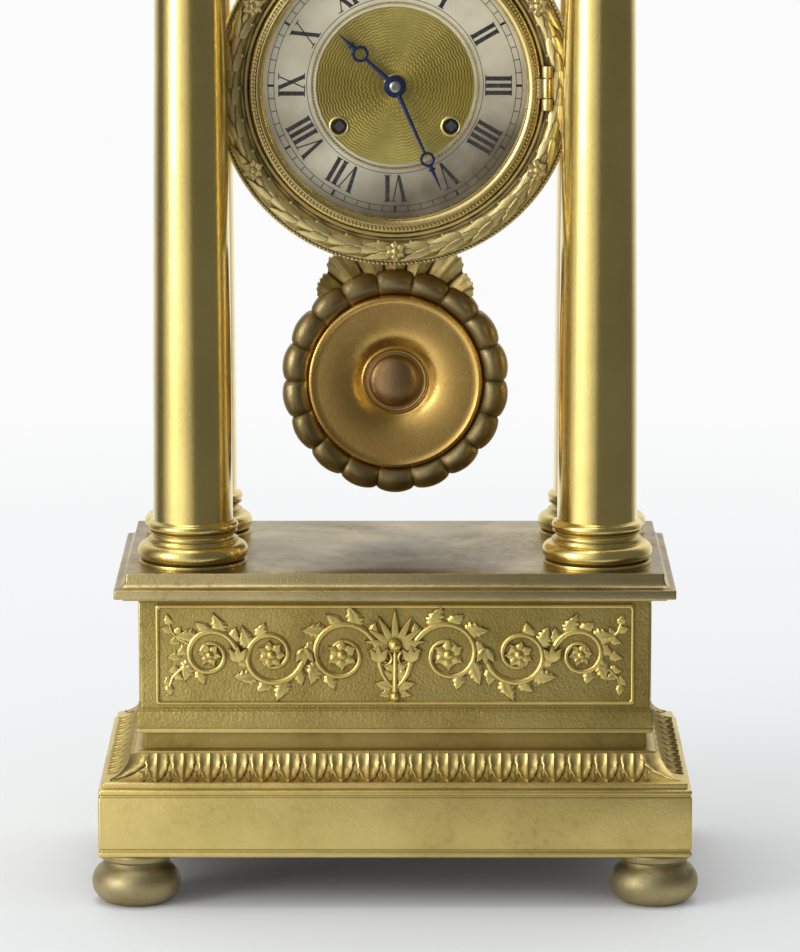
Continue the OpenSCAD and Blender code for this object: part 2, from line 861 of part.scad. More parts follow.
module door_bezel() {
    half = knuckle_z - free_gap;
    color("gold")
        difference() {
            union() {
                turned(middle, concat([[sight_d / 2, door_back_y - 1], [sight_d / 2, glass_y - 1.4]],
                    round_out([sight_d / 2 + 0.6, glass_y - 1.8], [door_r - 2.2, door_y]),
                    [[door_r - 1, door_y], [door_r, door_y + 1], [door_r, door_back_y],
                        [sight_d / 2 + 1, door_back_y]]));
                upright(hinge_x, hinge_y, knuckle_r, -half, 2 * half);
                translate([door_r - 3, hinge_y - 1.5, dial_z - half])
                    cube([hinge_x - door_r + 3, 3, 2 * half]);
            }
            bar(middle, glass_r + fit_gap, glass_y, door_back_y - glass_y + 1);
            upright(hinge_x, hinge_y, hinge_pin_r + run_gap, -half - 1, 2 * half + 2);
        }
}

module door_glass() {
    color("lightcyan", 0.4)
        bar(middle, glass_r, glass_y, glass_t);
}

// Pins of the front and the rear hinge.
module hinge_pins() {
    len = 2 * (knuckle_z + knuckle_len);
    color("silver") {
        upright(hinge_x, hinge_y, hinge_pin_r, -len / 2, len);
        upright(rear_hinge_x, rear_hinge_y, hinge_pin_r, -len / 2, len);
    }
}

// Points of the three feet that fix the dial to the front plate.
function dial_feet() = [for (a = [10, 130, 250]) go(middle, foot_ring_r, a)];

module chapter_ring() {
    color("silver") {
        difference() {
            bar(middle, chapter_d / 2, dial_y, dial_t);
            bar(middle, centre_d / 2 + fit_gap, dial_y - 1, dial_t + 2);
        }
        for (p = dial_feet())
            bar(p, dial_foot_r, dial_y + dial_t - eps, plate_back_y - dial_y - dial_t + eps);
    }
}

module dial_centre() {
    color("gold")
        difference() {
            union() {
                bar(middle, centre_d / 2, dial_y, dial_t + eps);
                bar(middle, flange_r, dial_y + dial_t, dial_t);
            }
            bar(middle, pipe_hole_r, dial_y - 1, 2 * dial_t + 2);
            for (p = [going_at, strike_at])
                bar(p, key_hole_d / 2, dial_y - 1, 2 * dial_t + 2);
        }
}

// Hinged dished cover behind the bell.
module rear_cover() {
    half = knuckle_z - free_gap;
    rim = drum_in_r - 3;
    color("tan")
        difference() {
            union() {
                turned(middle, concat([[0, cover_dome - cover_wall]],
                    [for (i = [0 : 8]) let (t = 90 * i / 8)
                        [(rim - cover_wall) * sin(t), cover_y + (cover_dome - cover_wall - cover_y) * cos(t)]],
                    [[door_r, cover_y], [door_r, cover_y + cover_flange]],
                    [for (i = [8 : -1 : 1]) let (t = 90 * i / 8)
                        [rim * sin(t), cover_y + cover_flange + (cover_dome - cover_y - cover_flange) * cos(t)]],
                    [[0, cover_dome]]));
                upright(rear_hinge_x, rear_hinge_y, knuckle_r, -half, 2 * half);
                translate([rear_hinge_x, cover_y, dial_z - half])
                    cube([-rear_hinge_x - door_r + 4, cover_flange - 0.4, 2 * half]);
            }
            upright(rear_hinge_x, rear_hinge_y, hinge_pin_r + run_gap, -half - 1, 2 * half + 2);
        }
}

// Plates of the movement.

module front_plate() {
    pin_to = ratchet_y - 0.5;
    color("gold") {
        difference() {
            bar(middle, plate_r, front_plate_y, front_plate_t);
            pivot_holes([for (i = [0, 2, 3, 4, 5, 6, 7, 8]) train_at[i]]);
            pivot_holes([pallet_at, hammer_at]);
            bar(middle, arbor_r + run_gap, front_plate_y - 1, front_plate_t + 2);
            for (p = [going_at, strike_at])
                bar(p, winding_r + run_gap, front_plate_y - 1, front_plate_t + 2);
            for (p = pillar_at)
                bar(p, pillar_pivot_r + fit_gap, front_plate_y - 1, front_plate_t + 2);
            for (p = screw_at)
                bar(p, screw_r + fit_gap, front_plate_y - 1, front_plate_t + 2);
            for (p = dial_feet())
                bar(p, dial_foot_r + fit_gap, front_plate_y - 1, front_plate_t + 2);
        }
        for (p = [click_at(going_at, 1), click_at(strike_at, -1)])
            bar(p, stud_r, pin_to, front_plate_y - pin_to + eps);
        bar(minute_at, stud_r, hour_y - 0.6, front_plate_y - hour_y + 0.6 + eps);
    }
}

module back_plate() {
    color("gold")
        difference() {
            bar(middle, plate_r, back_plate_y, back_plate_t);
            pivot_holes(train_at);
            pivot_holes([hammer_at]);
            bar(pallet_at, 4, back_plate_y - 1, back_plate_t + 2);
            for (p = [going_at, strike_at])
                bar(p, winding_r * 0.6 + run_gap, back_plate_y - 1, back_plate_t + 2);
            for (p = pillar_at)
                bar(p, pillar_pivot_r + fit_gap, back_plate_y - 1, back_plate_t + 2);
            for (p = screw_at)
                bar(p, screw_r + fit_gap, back_plate_y - 1, back_plate_t + 2);
        }
}

module plate_pillars() {
    color("goldenrod")
        for (p = pillar_at) {
            bar(p, pillar_r, plate_back_y, plate_gap);
            bar(p, pillar_pivot_r, front_plate_y, back_plate_back_y - front_plate_y);
        }
}

// Going and striking springs.

// Barrel with its great wheel, open to the arbor at both ends.
module barrel(p, turn) {
    hole = winding_r + run_gap;
    difference() {
        union() {
            slice(p, great_y, great_t)
                polygon(gear_points(barrel_teeth, barrel_m, turn, wheel_add, wheel_ded, root_half, tip_half));
            bar(p, barrel_r, barrel_y - eps, barrel_back_y - barrel_y + eps);
        }
        bar(p, barrel_r - barrel_wall, barrel_y, barrel_back_y - barrel_wall - barrel_y);
        bar(p, hole, great_y - 1, barrel_back_y - great_y + 2);
    }
}

// Winding arbor: square for the key, ratchet in front of the plate, core inside the barrel.
module winding_arbor(p, side) {
    square_y = dial_y + dial_t / 2;
    core_r = winding_r * 2;
    color("silver") {
        bar(p, winding_r, front_plate_y - 3, back_plate_y - shake - front_plate_y + 3);
        bar(p, winding_r * 0.6, back_plate_y - 1, back_plate_t + 1);
        bar(p, core_r, barrel_y + free_gap, barrel_back_y - barrel_wall - barrel_y - 2 * free_gap);
        translate([p[0], ratchet_y + eps, dial_z + p[1]])
            rotate([90, 0, 0])
                cylinder(h = ratchet_y - square_y, r = 2.4, $fn = 4);
        slice(p, ratchet_y, ratchet_t)
            polygon([for (i = [0 : ratchet_teeth - 1], q = [0, 1])
                let (a = side * (i + q * 0.85) * 360 / ratchet_teeth, r = ratchet_r - q * 0.9)
                r * [cos(a), sin(a)]]);
    }
}

// Flat spring wound in a spiral between the core of the arbor and the wall of the barrel.
module mainspring(p) {
    turns = 6;
    steps = 20;
    leaf = 0.35;
    low = winding_r * 2 + free_gap + leaf;
    high = barrel_r - barrel_wall - free_gap - leaf;
    count = turns * steps;
    color("slategray")
        slice(p, barrel_y + 2 * free_gap, barrel_back_y - barrel_wall - barrel_y - 4 * free_gap)
            polygon(concat(
                [for (i = [0 : count]) let (a = i * 360 / steps, r = low + (high - low) * i / count)
                    (r + leaf) * [cos(a), sin(a)]],
                [for (i = [count : -1 : 0]) let (a = i * 360 / steps, r = low + (high - low) * i / count)
                    (r - leaf) * [cos(a), sin(a)]]));
}

// Pivot of a click, below and outside its ratchet.
function click_at(p, side) = p + click_reach * [side * 0.5, -sqrt(0.75)];

// Pawl that lets its ratchet turn one way.
module click(p, side) {
    at = click_at(p, side);
    toward = heading(at, p) + side * click_spread;
    tip = click_arm * [cos(toward), sin(toward)];
    across = [-sin(toward), cos(toward)];
    color("steelblue")
        difference() {
            union() {
                bar(at, 2.6, ratchet_y, click_t);
                slice(at, ratchet_y, click_t)
                    polygon([1.6 * across, tip + 0.5 * across, tip - 0.5 * across, -1.6 * across]);
            }
            bar(at, stud_r + run_gap, ratchet_y - 1, click_t + 2);
        }
}

module going_barrel() {
    color("goldenrod")
        barrel(going_at, heading(going_at, second_at));
}

module going_arbor() {
    winding_arbor(going_at, 1);
}

module going_mainspring() {
    mainspring(going_at);
}

module going_click() {
    click(going_at, 1);
}

module strike_barrel() {
    color("goldenrod")
        barrel(strike_at, heading(strike_at, strike_second_at));
}

module strike_arbor() {
    winding_arbor(strike_at, -1);
}

module strike_mainspring() {
    mainspring(strike_at);
}

module strike_click() {
    click(strike_at, -1);
}

// Going train.

module second_wheel() {
    color("gold") {
        arbor(second_at);
        pinion(second_at, second_pinion, barrel_m, heading(second_at, going_at), great_y, pinion_t);
        wheel(second_at, second_teeth, second_m, heading(second_at, middle), second_y, wheel_t);
    }
}

// The centre arbor goes on through the front plate to carry the hands.
module centre_wheel() {
    color("gold") {
        bar(middle, arbor_r, hand_nut_y + 0.4, back_plate_y - shake - hand_nut_y - 0.4);
        bar(middle, pivot_r, back_plate_y - 1, back_plate_t + 1 - shake);
        pinion(middle, centre_pinion, second_m, heading(middle, second_at), centre_pinion_y, pinion_t);
        wheel(middle, centre_teeth, centre_m, heading(middle, third_at), centre_y, wheel_t);
    }
}

module third_wheel() {
    color("gold") {
        arbor(third_at);
        pinion(third_at, third_pinion, centre_m, heading(third_at, middle), centre_y - 0.5, pinion_t);
        wheel(third_at, third_teeth, third_m, heading(third_at, escape_at), third_y, wheel_t);
    }
}

module escape_wheel() {
    r = escape_d / 2;
    color("gold") {
        arbor(escape_at);
        pinion(escape_at, escape_pinion, third_m, heading(escape_at, third_at), third_y - 0.5, pinion_t);
        slice(escape_at, escape_y, wheel_t)
            polygon([for (i = [0 : escape_teeth - 1], q = [0, 1])
                let (a = (i + q * 0.7) * 360 / escape_teeth) (r - q * 1) * [cos(a), sin(a)]]);
    }
}

// Striking train.

module strike_second_wheel() {
    color("gold") {
        arbor(strike_second_at);
        pinion(strike_second_at, second_pinion, barrel_m, heading(strike_second_at, strike_at), great_y,
            pinion_t);
        wheel(strike_second_at, strike_second_teeth, strike_second_m, heading(strike_second_at, pin_at),
            second_y, wheel_t);
    }
}

// Wheel whose pins lift the hammer.
module pin_wheel() {
    pin_ring = pin_teeth * pin_m / 2 - 2;
    color("gold") {
        arbor(pin_at);
        pinion(pin_at, pin_pinion, strike_second_m, heading(pin_at, strike_second_at), centre_pinion_y,
            pinion_t);
        wheel(pin_at, pin_teeth, pin_m, heading(pin_at, locking_at), pin_y, wheel_t);
        for (i = [0 : strike_pins - 1])
            bar(go(pin_at, pin_ring, 360 * i / strike_pins), 0.5, pin_y + wheel_t - eps, pin_len + eps,
                $fn = 24);
    }
}

module locking_wheel() {
    color("gold") {
        arbor(locking_at);
        pinion(locking_at, locking_pinion, pin_m, heading(locking_at, pin_at), pin_y - 0.5, pinion_t);
        wheel(locking_at, locking_teeth, locking_m, heading(locking_at, warning_at), locking_y, wheel_t);
    }
}

module warning_wheel() {
    color("gold") {
        arbor(warning_at);
        pinion(warning_at, warning_pinion, locking_m, heading(warning_at, locking_at), locking_y - 0.5,
            pinion_t);
        wheel(warning_at, warning_teeth, warning_m, heading(warning_at, fly_at), warning_y, wheel_t);
    }
}

// Two-bladed fan that the air holds back.
module fly() {
    color("gold") {
        arbor(fly_at);
        pinion(fly_at, fly_pinion, warning_m, heading(fly_at, warning_at), warning_y - 0.5, pinion_t);
        slice(fly_at, fly_y, fly_len)
            square([2 * fly_half, 0.8], center = true);
    }
}

// Motion work and hands.

// Pipe friction-fitted on the centre arbor, with the pinion that drives the minute wheel.
module cannon_pinion() {
    color("goldenrod")
        difference() {
            union() {
                bar(middle, cannon_r, minute_hand_y, motion_y + motion_t - minute_hand_y);
                pinion(middle, cannon_teeth, motion_m, -90, motion_y, motion_t);
            }
            bar(middle, arbor_r + fit_gap, minute_hand_y - 1, motion_y + motion_t - minute_hand_y + 2);
        }
}

module minute_wheel() {
    color("goldenrod")
        difference() {
            union() {
                slice(minute_at, motion_y, motion_t)
                    polygon(gear_points(minute_teeth, motion_m, 90, wheel_add, wheel_ded, root_half, tip_half));
                pinion(minute_at, minute_pinion, motion_m, 90, hour_y, motion_y - hour_y + eps);
            }
            bar(minute_at, stud_r + run_gap, hour_y - 1, motion_y + motion_t - hour_y + 2);
        }
}

module hour_wheel() {
    color("goldenrod")
        difference() {
            union() {
                slice(middle, hour_y, motion_t)
                    polygon(gear_points(hour_teeth, motion_m, -90, wheel_add, wheel_ded, root_half, tip_half));
                bar(middle, hour_pipe_r, hour_hand_y, hour_y - hour_hand_y + eps);
            }
            bar(middle, cannon_r + run_gap, hour_hand_y - 1, hour_y + motion_t - hour_hand_y + 2);
        }
}

// Tapering hand with an open ring near its tip.
module hand(len, ring_at, ring_r, ring_in, wide, boss_r, hole_r, y, turn) {
    translate([0, y + hand_t, dial_z])
        rotate([90, 0, 0])
            rotate([0, 0, turn])
                difference() {
                    union() {
                        cylinder(h = hand_t, r = boss_r, $fn = 48);
                        translate([ring_at, 0, 0])
                            cylinder(h = hand_t, r = ring_r, $fn = 48);
                        linear_extrude(hand_t)
                            polygon([[0, wide], [ring_at, wide * 0.6], [ring_at, -wide * 0.6], [0, -wide]]);
                        linear_extrude(hand_t)
                            polygon([[ring_at, wide * 1.2], [len, 0.25], [len, -0.25], [ring_at, -wide * 1.2]]);
                    }
                    translate([ring_at, 0, -1])
                        cylinder(h = hand_t + 2, r = ring_in, $fn = 48);
                    translate([0, 0, -1])
                        cylinder(h = hand_t + 2, r = hole_r, $fn = 48);
                }
}

module minute_hand() {
    color("midnightblue")
        hand(minute_len, minute_len * 0.7, 3, 2, 0.9, 3.6, cannon_r - 0.6, minute_hand_y - hand_t,
            minute_turn);
}

module hour_hand() {
    color("midnightblue")
        hand(hour_len, hour_len * 0.62, 3.4, 2.2, 1, 4.6, cannon_r + 0.4, hour_hand_y - hand_t, hour_turn);
}

module hand_nut() {
    r = 2.2;
    hole = arbor_r + fit_gap;
    color("silver")
        turned(middle, [[hole, hand_nut_y], [r * 0.6, hand_nut_y], [r, hand_nut_y + 0.5],
            [r, minute_hand_y - hand_t], [hole, minute_hand_y - hand_t]]);
}

// Escapement, pendulum, bell and hammer.

// Anchor on its arbor, with the crutch behind the back plate.
module pallets() {
    reach = 7.4;
    prong = 1;
    gap = pendulum_rod_d / 2 + free_gap;
    color("silver") {
        bar(pallet_at, arbor_r, plate_back_y + shake, cock_y - shake - plate_back_y - shake);
        bar(pallet_at, pivot_r, front_plate_y + shake, cock_y + cock_t - 2 * shake - front_plate_y);
        difference() {
            slice(pallet_at, escape_y, wheel_t)
                polygon([[0, 2.6], [8.4, -5], [7.2, -6.2], [-7.2, -6.2], [-8.4, -5]]);
            bar(escape_at, reach, escape_y - 1, wheel_t + 2);
        }
        slice(middle, crutch_y, crutch_t)
            polygon([[-1.4, crutch_z], [1.4, crutch_z], [1.4, pallet_at[1]], [-1.4, pallet_at[1]]]);
        translate([-gap - prong, crutch_y, dial_z + crutch_z])
            cube([2 * (gap + prong), crutch_t, 3]);
        for (x = [-gap - prong, gap])
            translate([x, crutch_y, dial_z + crutch_z])
                cube([prong, rod_y + pendulum_rod_d / 2 - crutch_y, 3]);
    }
}

// Bridge on the back plate that carries the rear pivot and the pendulum.
module back_cock() {
    leg = 4;
    slot = suspension_t + 0.4;
    low = pallet_at[1] - 4;
    top = pallet_at[1] + 9;
    color("gold")
        difference() {
            union() {
                for (x = [-cock_x - leg / 2, cock_x - leg / 2])
                    translate([x, back_plate_back_y, dial_z + low])
                        cube([leg, cock_y + cock_t - back_plate_back_y, 8]);
                translate([-cock_x, cock_y, dial_z + low])
                    cube([2 * cock_x, cock_t, 8]);
                translate([-4, cock_y, dial_z + low + 6])
                    cube([8, rod_y + 3 - cock_y, top - low - 6]);
            }
            bar(pallet_at, pivot_hole_r, cock_y - 1, cock_t + 2);
            translate([-5, rod_y - slot / 2, dial_z + low])
                cube([10, slot, pallet_at[1] + suspension_top + 0.7 - low]);
            translate([-5, cock_y + cock_t, dial_z + low])
                cube([10, rod_y - cock_y, 5.5]);
        }
}

// Thin steel strip with a brass chop at its lower end.
module suspension_spring() {
    color("lightsteelblue") {
        translate([-suspension_x, rod_y - suspension_t / 2, dial_z + pallet_at[1] - suspension_low])
            cube([2 * suspension_x, suspension_t, suspension_low + suspension_top]);
        translate([-suspension_x - 0.5, rod_y - 1.1, dial_z + pallet_at[1] - suspension_low - chop_h])
            cube([2 * suspension_x + 1, 2.2, chop_h]);
    }
}

module pendulum_rod() {
    color("goldenrod")
        upright(0, rod_y, pendulum_rod_d / 2, rod_low, rod_top - rod_low);
}

// Outline of half the cap on top of the bob, from its foot on the rim to the rod.
function cap_half(r) = [[r * 0.72, r * 0.55], [r * 0.79, r * 0.64], [cap_w / 2 + 6, r * 0.73],
    [cap_w / 2 + 5, cap_top - 14], [cap_w / 2 + 2.5, cap_top - 12], [cap_w / 2 + 3, cap_top - 7],
    [cap_w / 2, cap_top - 6], [cap_w / 2 - 1, cap_top - 1], [cap_w / 2 - 5, cap_top],
    [cap_w / 4, cap_top - 3], [4, cap_top - 2], [3, cap_top]];

// Lobed rim round a dished face with a raised boss, and a cap of two leaves round the rod.
module bob() {
    r = bob_d / 2;
    lobes = 18;
    lobe_r = r * 0.15;
    face_y = rod_y - 2.6;
    at = [0, -bob_drop];
    half = cap_half(r);
    last = len(half) - 1;
    color("olive")
        difference() {
            union() {
                turned(at, concat([[0, rod_y + 4], [r * 0.6, rod_y + 4], [r - lobe_r, rod_y + 3],
                    [r - lobe_r, rod_y - 4]], arc(r * 0.8, rod_y - 4, r * 0.08, 0, -180, 8),
                    [[r * 0.7, face_y - 0.5], [r * 0.4, face_y + 0.3], [r * 0.27, face_y]],
                    round_out([r * 0.25, face_y - 1], [0, face_y - 4])));
                for (i = [0 : lobes - 1])
                    bar(go(at, r - lobe_r, 360 * i / lobes), lobe_r, rod_y + 3 - lobe_t, lobe_t, $fn = 32);
                slice(at, rod_y - cap_t / 2 - 0.5, cap_t)
                    polygon(concat(half, [for (i = [last : -1 : 0]) [-half[i][0], half[i][1]]]));
            }
            upright(0, rod_y, pendulum_rod_d / 2 + fit_gap, rod_low - 0.2, bob_drop);
        }
}

// Hammer: head and arm behind the back plate, tail near the pins of the pin wheel.
module hammer() {
    head_at = [-bell_x - bell_d / 2 - 1.2, 0];
    head_len = 7.5;
    arm_y = 46.2;
    arm_t = 1.6;
    tail = [-35.6, 27.5];
    color("silver") {
        arbor(hammer_at);
        bar(hammer_at, pivot_r, back_plate_back_y - 1, arm_y + arm_t - back_plate_back_y + 1);
        slice(middle, arm_y, arm_t)
            polygon([hammer_at + [-1.4, 1.6], hammer_at + [1.4, 1.6], head_at + [-3.2, 0],
                head_at + [-5.4, 0]]);
        slice(middle, pin_y + wheel_t + 0.6, 1.4)
            polygon([hammer_at + [0, 1.2], tail + [0, 0.8], tail + [0, -0.8], hammer_at + [0, -1.2]]);
        translate([head_at[0] - head_len, arm_y + arm_t / 2, dial_z])
            rotate([0, 90, 0])
                cylinder(h = head_len, r = 3, $fn = 48);
    }
}

// Bell with its mouth towards the back plate.
module bell() {
    r = bell_d / 2;
    deep = bell_back_y - bell_y;
    post = 2;
    color("gold")
        turned(bell_at, concat(
            [for (i = [0 : 9]) let (t = 90 - 84 * i / 9)
                [r * sin(t), bell_y + deep * cos(t) / cos(6)]],
            [[post + fit_gap, bell_back_y], [post + fit_gap, bell_back_y - bell_wall]],
            [for (i = [9 : -1 : 0]) let (t = 90 - 84 * i / 9)
                [(r - bell_wall) * sin(t), bell_y + (deep - bell_wall) * cos(t) / cos(6)]]));
}

// Post that carries the bell, with its nut.
module bell_stand() {
    color("silver") {
        bar(bell_at, 5, back_plate_back_y, 2);
        bar(bell_at, 3, back_plate_back_y + 2 - eps, bell_back_y - bell_wall - back_plate_back_y - 2);
        bar(bell_at, 2, bell_back_y - bell_wall - 1, bell_wall + 2.6);
        difference() {
            bar(bell_at, 4, bell_back_y, 1.5, $fn = 6);
            bar(bell_at, 2 - eps, bell_back_y - 1, 4);
        }
    }
}

bun_feet();
base_floor();
plinth_block();
leaf_moulding();
die();
base_mount();
base_top();
column_bases();
columns();
capitals();
tie_rods();
architrave();
frieze();
frieze_mount();
cornice();
top_plate();
drum_hanger();
case_screws();
drum();
outer_bezel();
door_bezel();
door_glass();
hinge_pins();
chapter_ring();
dial_centre();
rear_cover();
front_plate();
back_plate();
plate_pillars();
going_barrel();
going_arbor();
going_mainspring();
going_click();
second_wheel();
centre_wheel();
third_wheel();
escape_wheel();
strike_barrel();
strike_arbor();
strike_mainspring();
strike_click();
strike_second_wheel();
pin_wheel();
locking_wheel();
warning_wheel();
fly();
cannon_pinion();
minute_wheel();
hour_wheel();
minute_hand();
hour_hand();
hand_nut();
pallets();
back_cock();
suspension_spring();
pendulum_rod();
bob();
hammer();
bell();
bell_stand();
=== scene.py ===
# Looks of a four-column portico clock in gilt bronze, made piece by piece around its fixed frame.
from math import cos, exp, pi, radians, sin, sqrt

import bmesh
import bpy
from mathutils import Matrix, Vector


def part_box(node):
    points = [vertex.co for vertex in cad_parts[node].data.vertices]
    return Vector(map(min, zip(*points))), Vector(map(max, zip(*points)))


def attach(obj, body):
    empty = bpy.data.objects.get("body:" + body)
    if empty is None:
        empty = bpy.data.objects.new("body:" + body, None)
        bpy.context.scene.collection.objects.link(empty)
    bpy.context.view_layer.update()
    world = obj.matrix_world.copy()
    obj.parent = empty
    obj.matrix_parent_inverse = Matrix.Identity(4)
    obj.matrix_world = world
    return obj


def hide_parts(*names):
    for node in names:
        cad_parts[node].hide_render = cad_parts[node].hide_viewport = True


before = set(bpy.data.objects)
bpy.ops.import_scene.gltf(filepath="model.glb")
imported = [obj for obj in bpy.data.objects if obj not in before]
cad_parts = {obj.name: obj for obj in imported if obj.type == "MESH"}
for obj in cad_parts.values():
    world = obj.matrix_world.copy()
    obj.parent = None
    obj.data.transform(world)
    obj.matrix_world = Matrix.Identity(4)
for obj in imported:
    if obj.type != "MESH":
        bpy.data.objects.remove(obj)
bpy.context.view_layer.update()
scene = bpy.context.scene
MM = 0.001

# Camera
# A long lens stands 2.4 m in front of the clock and looks down on it by ten degrees. The picture
# starts just below the XII of the dial and ends on the table in front of the feet.
camera_pitch = radians(10)
camera_distance = 2.4
camera_aim = Vector((0.002, 0, 0.165))
camera_sensor = 36
focal_pixels = 5840
picture_height = 952

lens = bpy.data.cameras.new("camera")
lens.sensor_width = camera_sensor
lens.lens = focal_pixels * camera_sensor / picture_height
camera = bpy.data.objects.new("camera", lens)
back_along_view = Vector((0, -cos(camera_pitch), sin(camera_pitch)))
camera.location = camera_aim + back_along_view * camera_distance
camera.rotation_euler = (-back_along_view).to_track_quat("-Z", "Y").to_euler()
scene.collection.objects.link(camera)
scene.camera = camera
scene.view_settings.view_transform = "Standard"


# Table, light and background
# A pale table in front of a white wall, in a room that is dark except for a large window at the left.
# Polished metal mirrors the lit table close by, the wall behind, the window and the dark of the room.
def plug(tree, made, links):
    """Links or sets inputs of a node, by name or number."""
    for name, value in links.items():
        socket = made.inputs[name]
        if isinstance(value, bpy.types.NodeSocket):
            tree.links.new(value, socket)
        elif socket.type == "RGBA" and len(value) == 3:
            socket.default_value = (*value, 1)
        else:
            socket.default_value = value


def node(tree, kind, links=None, **settings):
    """Adds a shader or geometry node, with its inputs linked or set."""
    made = tree.nodes.new(kind)
    for name, value in settings.items():
        setattr(made, name, value)
    plug(tree, made, links or {})
    return made


def calc(tree, step, a, b=0.0, c=0.0):
    """One step of arithmetic on two or three values."""
    return node(tree, "ShaderNodeMath", {0: a, 1: b, 2: c}, operation=step).outputs[0]


def vector_calc(tree, step, a, b=(0, 0, 0)):
    """One step of arithmetic on vectors. A length or a dot product gives a value."""
    made = node(tree, "ShaderNodeVectorMath", {0: a, 1: b}, operation=step)
    return made.outputs["Value" if step in ("LENGTH", "DOT_PRODUCT") else "Vector"]


def remap(tree, value, low, high, to_low=0.0, to_high=1.0):
    """Takes values between low and high to the range to_low to to_high."""
    links = {"Value": value, "From Min": low, "From Max": high, "To Min": to_low, "To Max": to_high}
    return node(tree, "ShaderNodeMapRange", links).outputs["Result"]


def mix_colours(tree, share, low, high):
    """Colour between two colours."""
    return node(tree, "ShaderNodeMix", {0: share, 6: low, 7: high}, data_type="RGBA").outputs[2]


table_radius = 5.0
table_fade = (0.30, 1.15)
table_edge = (0.22, 0.48)
table_colour = (0.72, 0.74, 0.74)
backdrop_colour = (0.97, 0.97, 0.97)
room_colour = (0.90, 0.90, 0.92)
dark_room = 0.13
wall_from_to = (0.35, 0.88)
window_bright = 1.22
window_near_side = (radians(8), radians(-34))
window_far_side = (radians(-98), radians(-60))


def room_seen(tree, direction):
    """What polished metal mirrors in a direction: wall behind, window at the left, dark room in front."""
    level = vector_calc(tree, "NORMALIZE", vector_calc(tree, "MULTIPLY", direction, (1, 1, 0)))
    parts = node(tree, "ShaderNodeSeparateXYZ", {0: level}).outputs
    wall = remap(tree, parts["Y"], *wall_from_to, dark_room, 1.0)
    to_front = calc(tree, "MULTIPLY", parts["Y"], -1.0)
    sideways = calc(tree, "ARCTAN2", parts["X"], to_front)
    near_side = remap(tree, sideways, *window_near_side, 0.0, window_bright)
    window = calc(tree, "MULTIPLY", near_side, remap(tree, sideways, *window_far_side))
    bright = calc(tree, "MAXIMUM", calc(tree, "MAXIMUM", wall, window), dark_room)
    white = node(tree, "ShaderNodeCombineXYZ", {0: bright, 1: bright, 2: bright}).outputs[0]
    return vector_calc(tree, "MULTIPLY", white, backdrop_colour)


def empty_tree(owner):
    """Cleared tree of a material or world, with what is 1 where it is seen straight and where mirrored."""
    owner.use_nodes = True
    tree = owner.node_tree
    tree.nodes.clear()
    path = node(tree, "ShaderNodeLightPath").outputs
    straight = calc(tree, "MAXIMUM", path["Is Camera Ray"], path["Is Transmission Ray"])
    return tree, straight, path["Is Glossy Ray"]


bpy.ops.mesh.primitive_circle_add(vertices=96, radius=table_radius, fill_type="NGON")
table_top = bpy.context.object
table_top.name = "table_top"
table_paint = bpy.data.materials.new("table_paint")
tree, straight, mirrored = empty_tree(table_paint)
spot = node(tree, "ShaderNodeTexCoord").outputs["Object"]
from_middle = vector_calc(tree, "LENGTH", spot)
far_off = calc(tree, "MULTIPLY", remap(tree, from_middle, *table_fade), straight)
past_edge = calc(tree, "MULTIPLY", remap(tree, from_middle, *table_edge), mirrored)
paint = node(tree, "ShaderNodeBsdfDiffuse", {"Color": table_colour})
beyond = mix_colours(tree, mirrored, backdrop_colour, room_seen(tree, spot))
glow = node(tree, "ShaderNodeEmission", {"Color": beyond, "Strength": 1.0})
share = calc(tree, "MAXIMUM", far_off, past_edge)
both = node(tree, "ShaderNodeMixShader", {0: share, 1: paint.outputs[0], 2: glow.outputs[0]})
node(tree, "ShaderNodeOutputMaterial", {"Surface": both.outputs[0]})
table_top.data.materials.append(table_paint)

scene.world = bpy.data.worlds.new("studio")
tree, straight, mirrored = empty_tree(scene.world)
room = room_seen(tree, node(tree, "ShaderNodeTexCoord").outputs["Generated"])
plain = mix_colours(tree, mirrored, room_colour, room)
sky = node(tree, "ShaderNodeBackground", {"Color": mix_colours(tree, straight, plain, backdrop_colour)})
node(tree, "ShaderNodeOutputWorld", {"Surface": sky.outputs[0]})


def soft_lamp(name, place, width, height, power, aim=(0, 0, 0.2)):
    """Rectangular lamp that points at a place."""
    data = bpy.data.lights.new(name, "AREA")
    data.shape = "RECTANGLE"
    data.size = width
    data.size_y = height
    data.energy = power
    lamp = bpy.data.objects.new(name, data)
    lamp.location = place
    lamp.rotation_euler = (Vector(aim) - Vector(place)).to_track_quat("-Z", "Y").to_euler()
    scene.collection.objects.link(lamp)


soft_lamp("window_lamp", (-1.7, -1.3, 0.66), width=0.8, height=1.2, power=19)
soft_lamp("top_lamp", (-0.3, 0.2, 2.2), width=1.6, height=1.2, power=14)


# Bun feet
# Four flattened balls of gilt bronze, turned in one with their collars. Each has a stud that goes up
# through the floor plate inside the plinth.
def new_material(name):
    """New material, with its tree, its shader and the place on the object."""
    material = bpy.data.materials.new(name)
    material.use_nodes = True
    tree = material.node_tree
    where = node(tree, "ShaderNodeTexCoord").outputs["Object"]
    return material, tree, tree.nodes["Principled BSDF"], where


def noise(tree, where, scale, detail, **more):
    """Level of a cloudy noise."""
    links = {"Vector": where, "Scale": scale, "Detail": detail, **more}
    return node(tree, "ShaderNodeTexNoise", links).outputs[0]


def emboss(tree, shader, height, strength, distance):
    """Raises a shader's surface by a height, on top of what raised it before."""
    links = {"Height": height, "Strength": strength, "Distance": distance}
    if shader.inputs["Normal"].links:
        links["Normal"] = shader.inputs["Normal"].links[0].from_socket
    plug(tree, shader, {"Normal": node(tree, "ShaderNodeBump", links).outputs[0]})


cloud_scale, wave_scale, speck_scale, pit_scale = 19, 60, 330, 900
grain_depth = 0.4 * MM
dirt_reach = 7 * MM
sharp_angle = 38
weld_gap = 1e-6


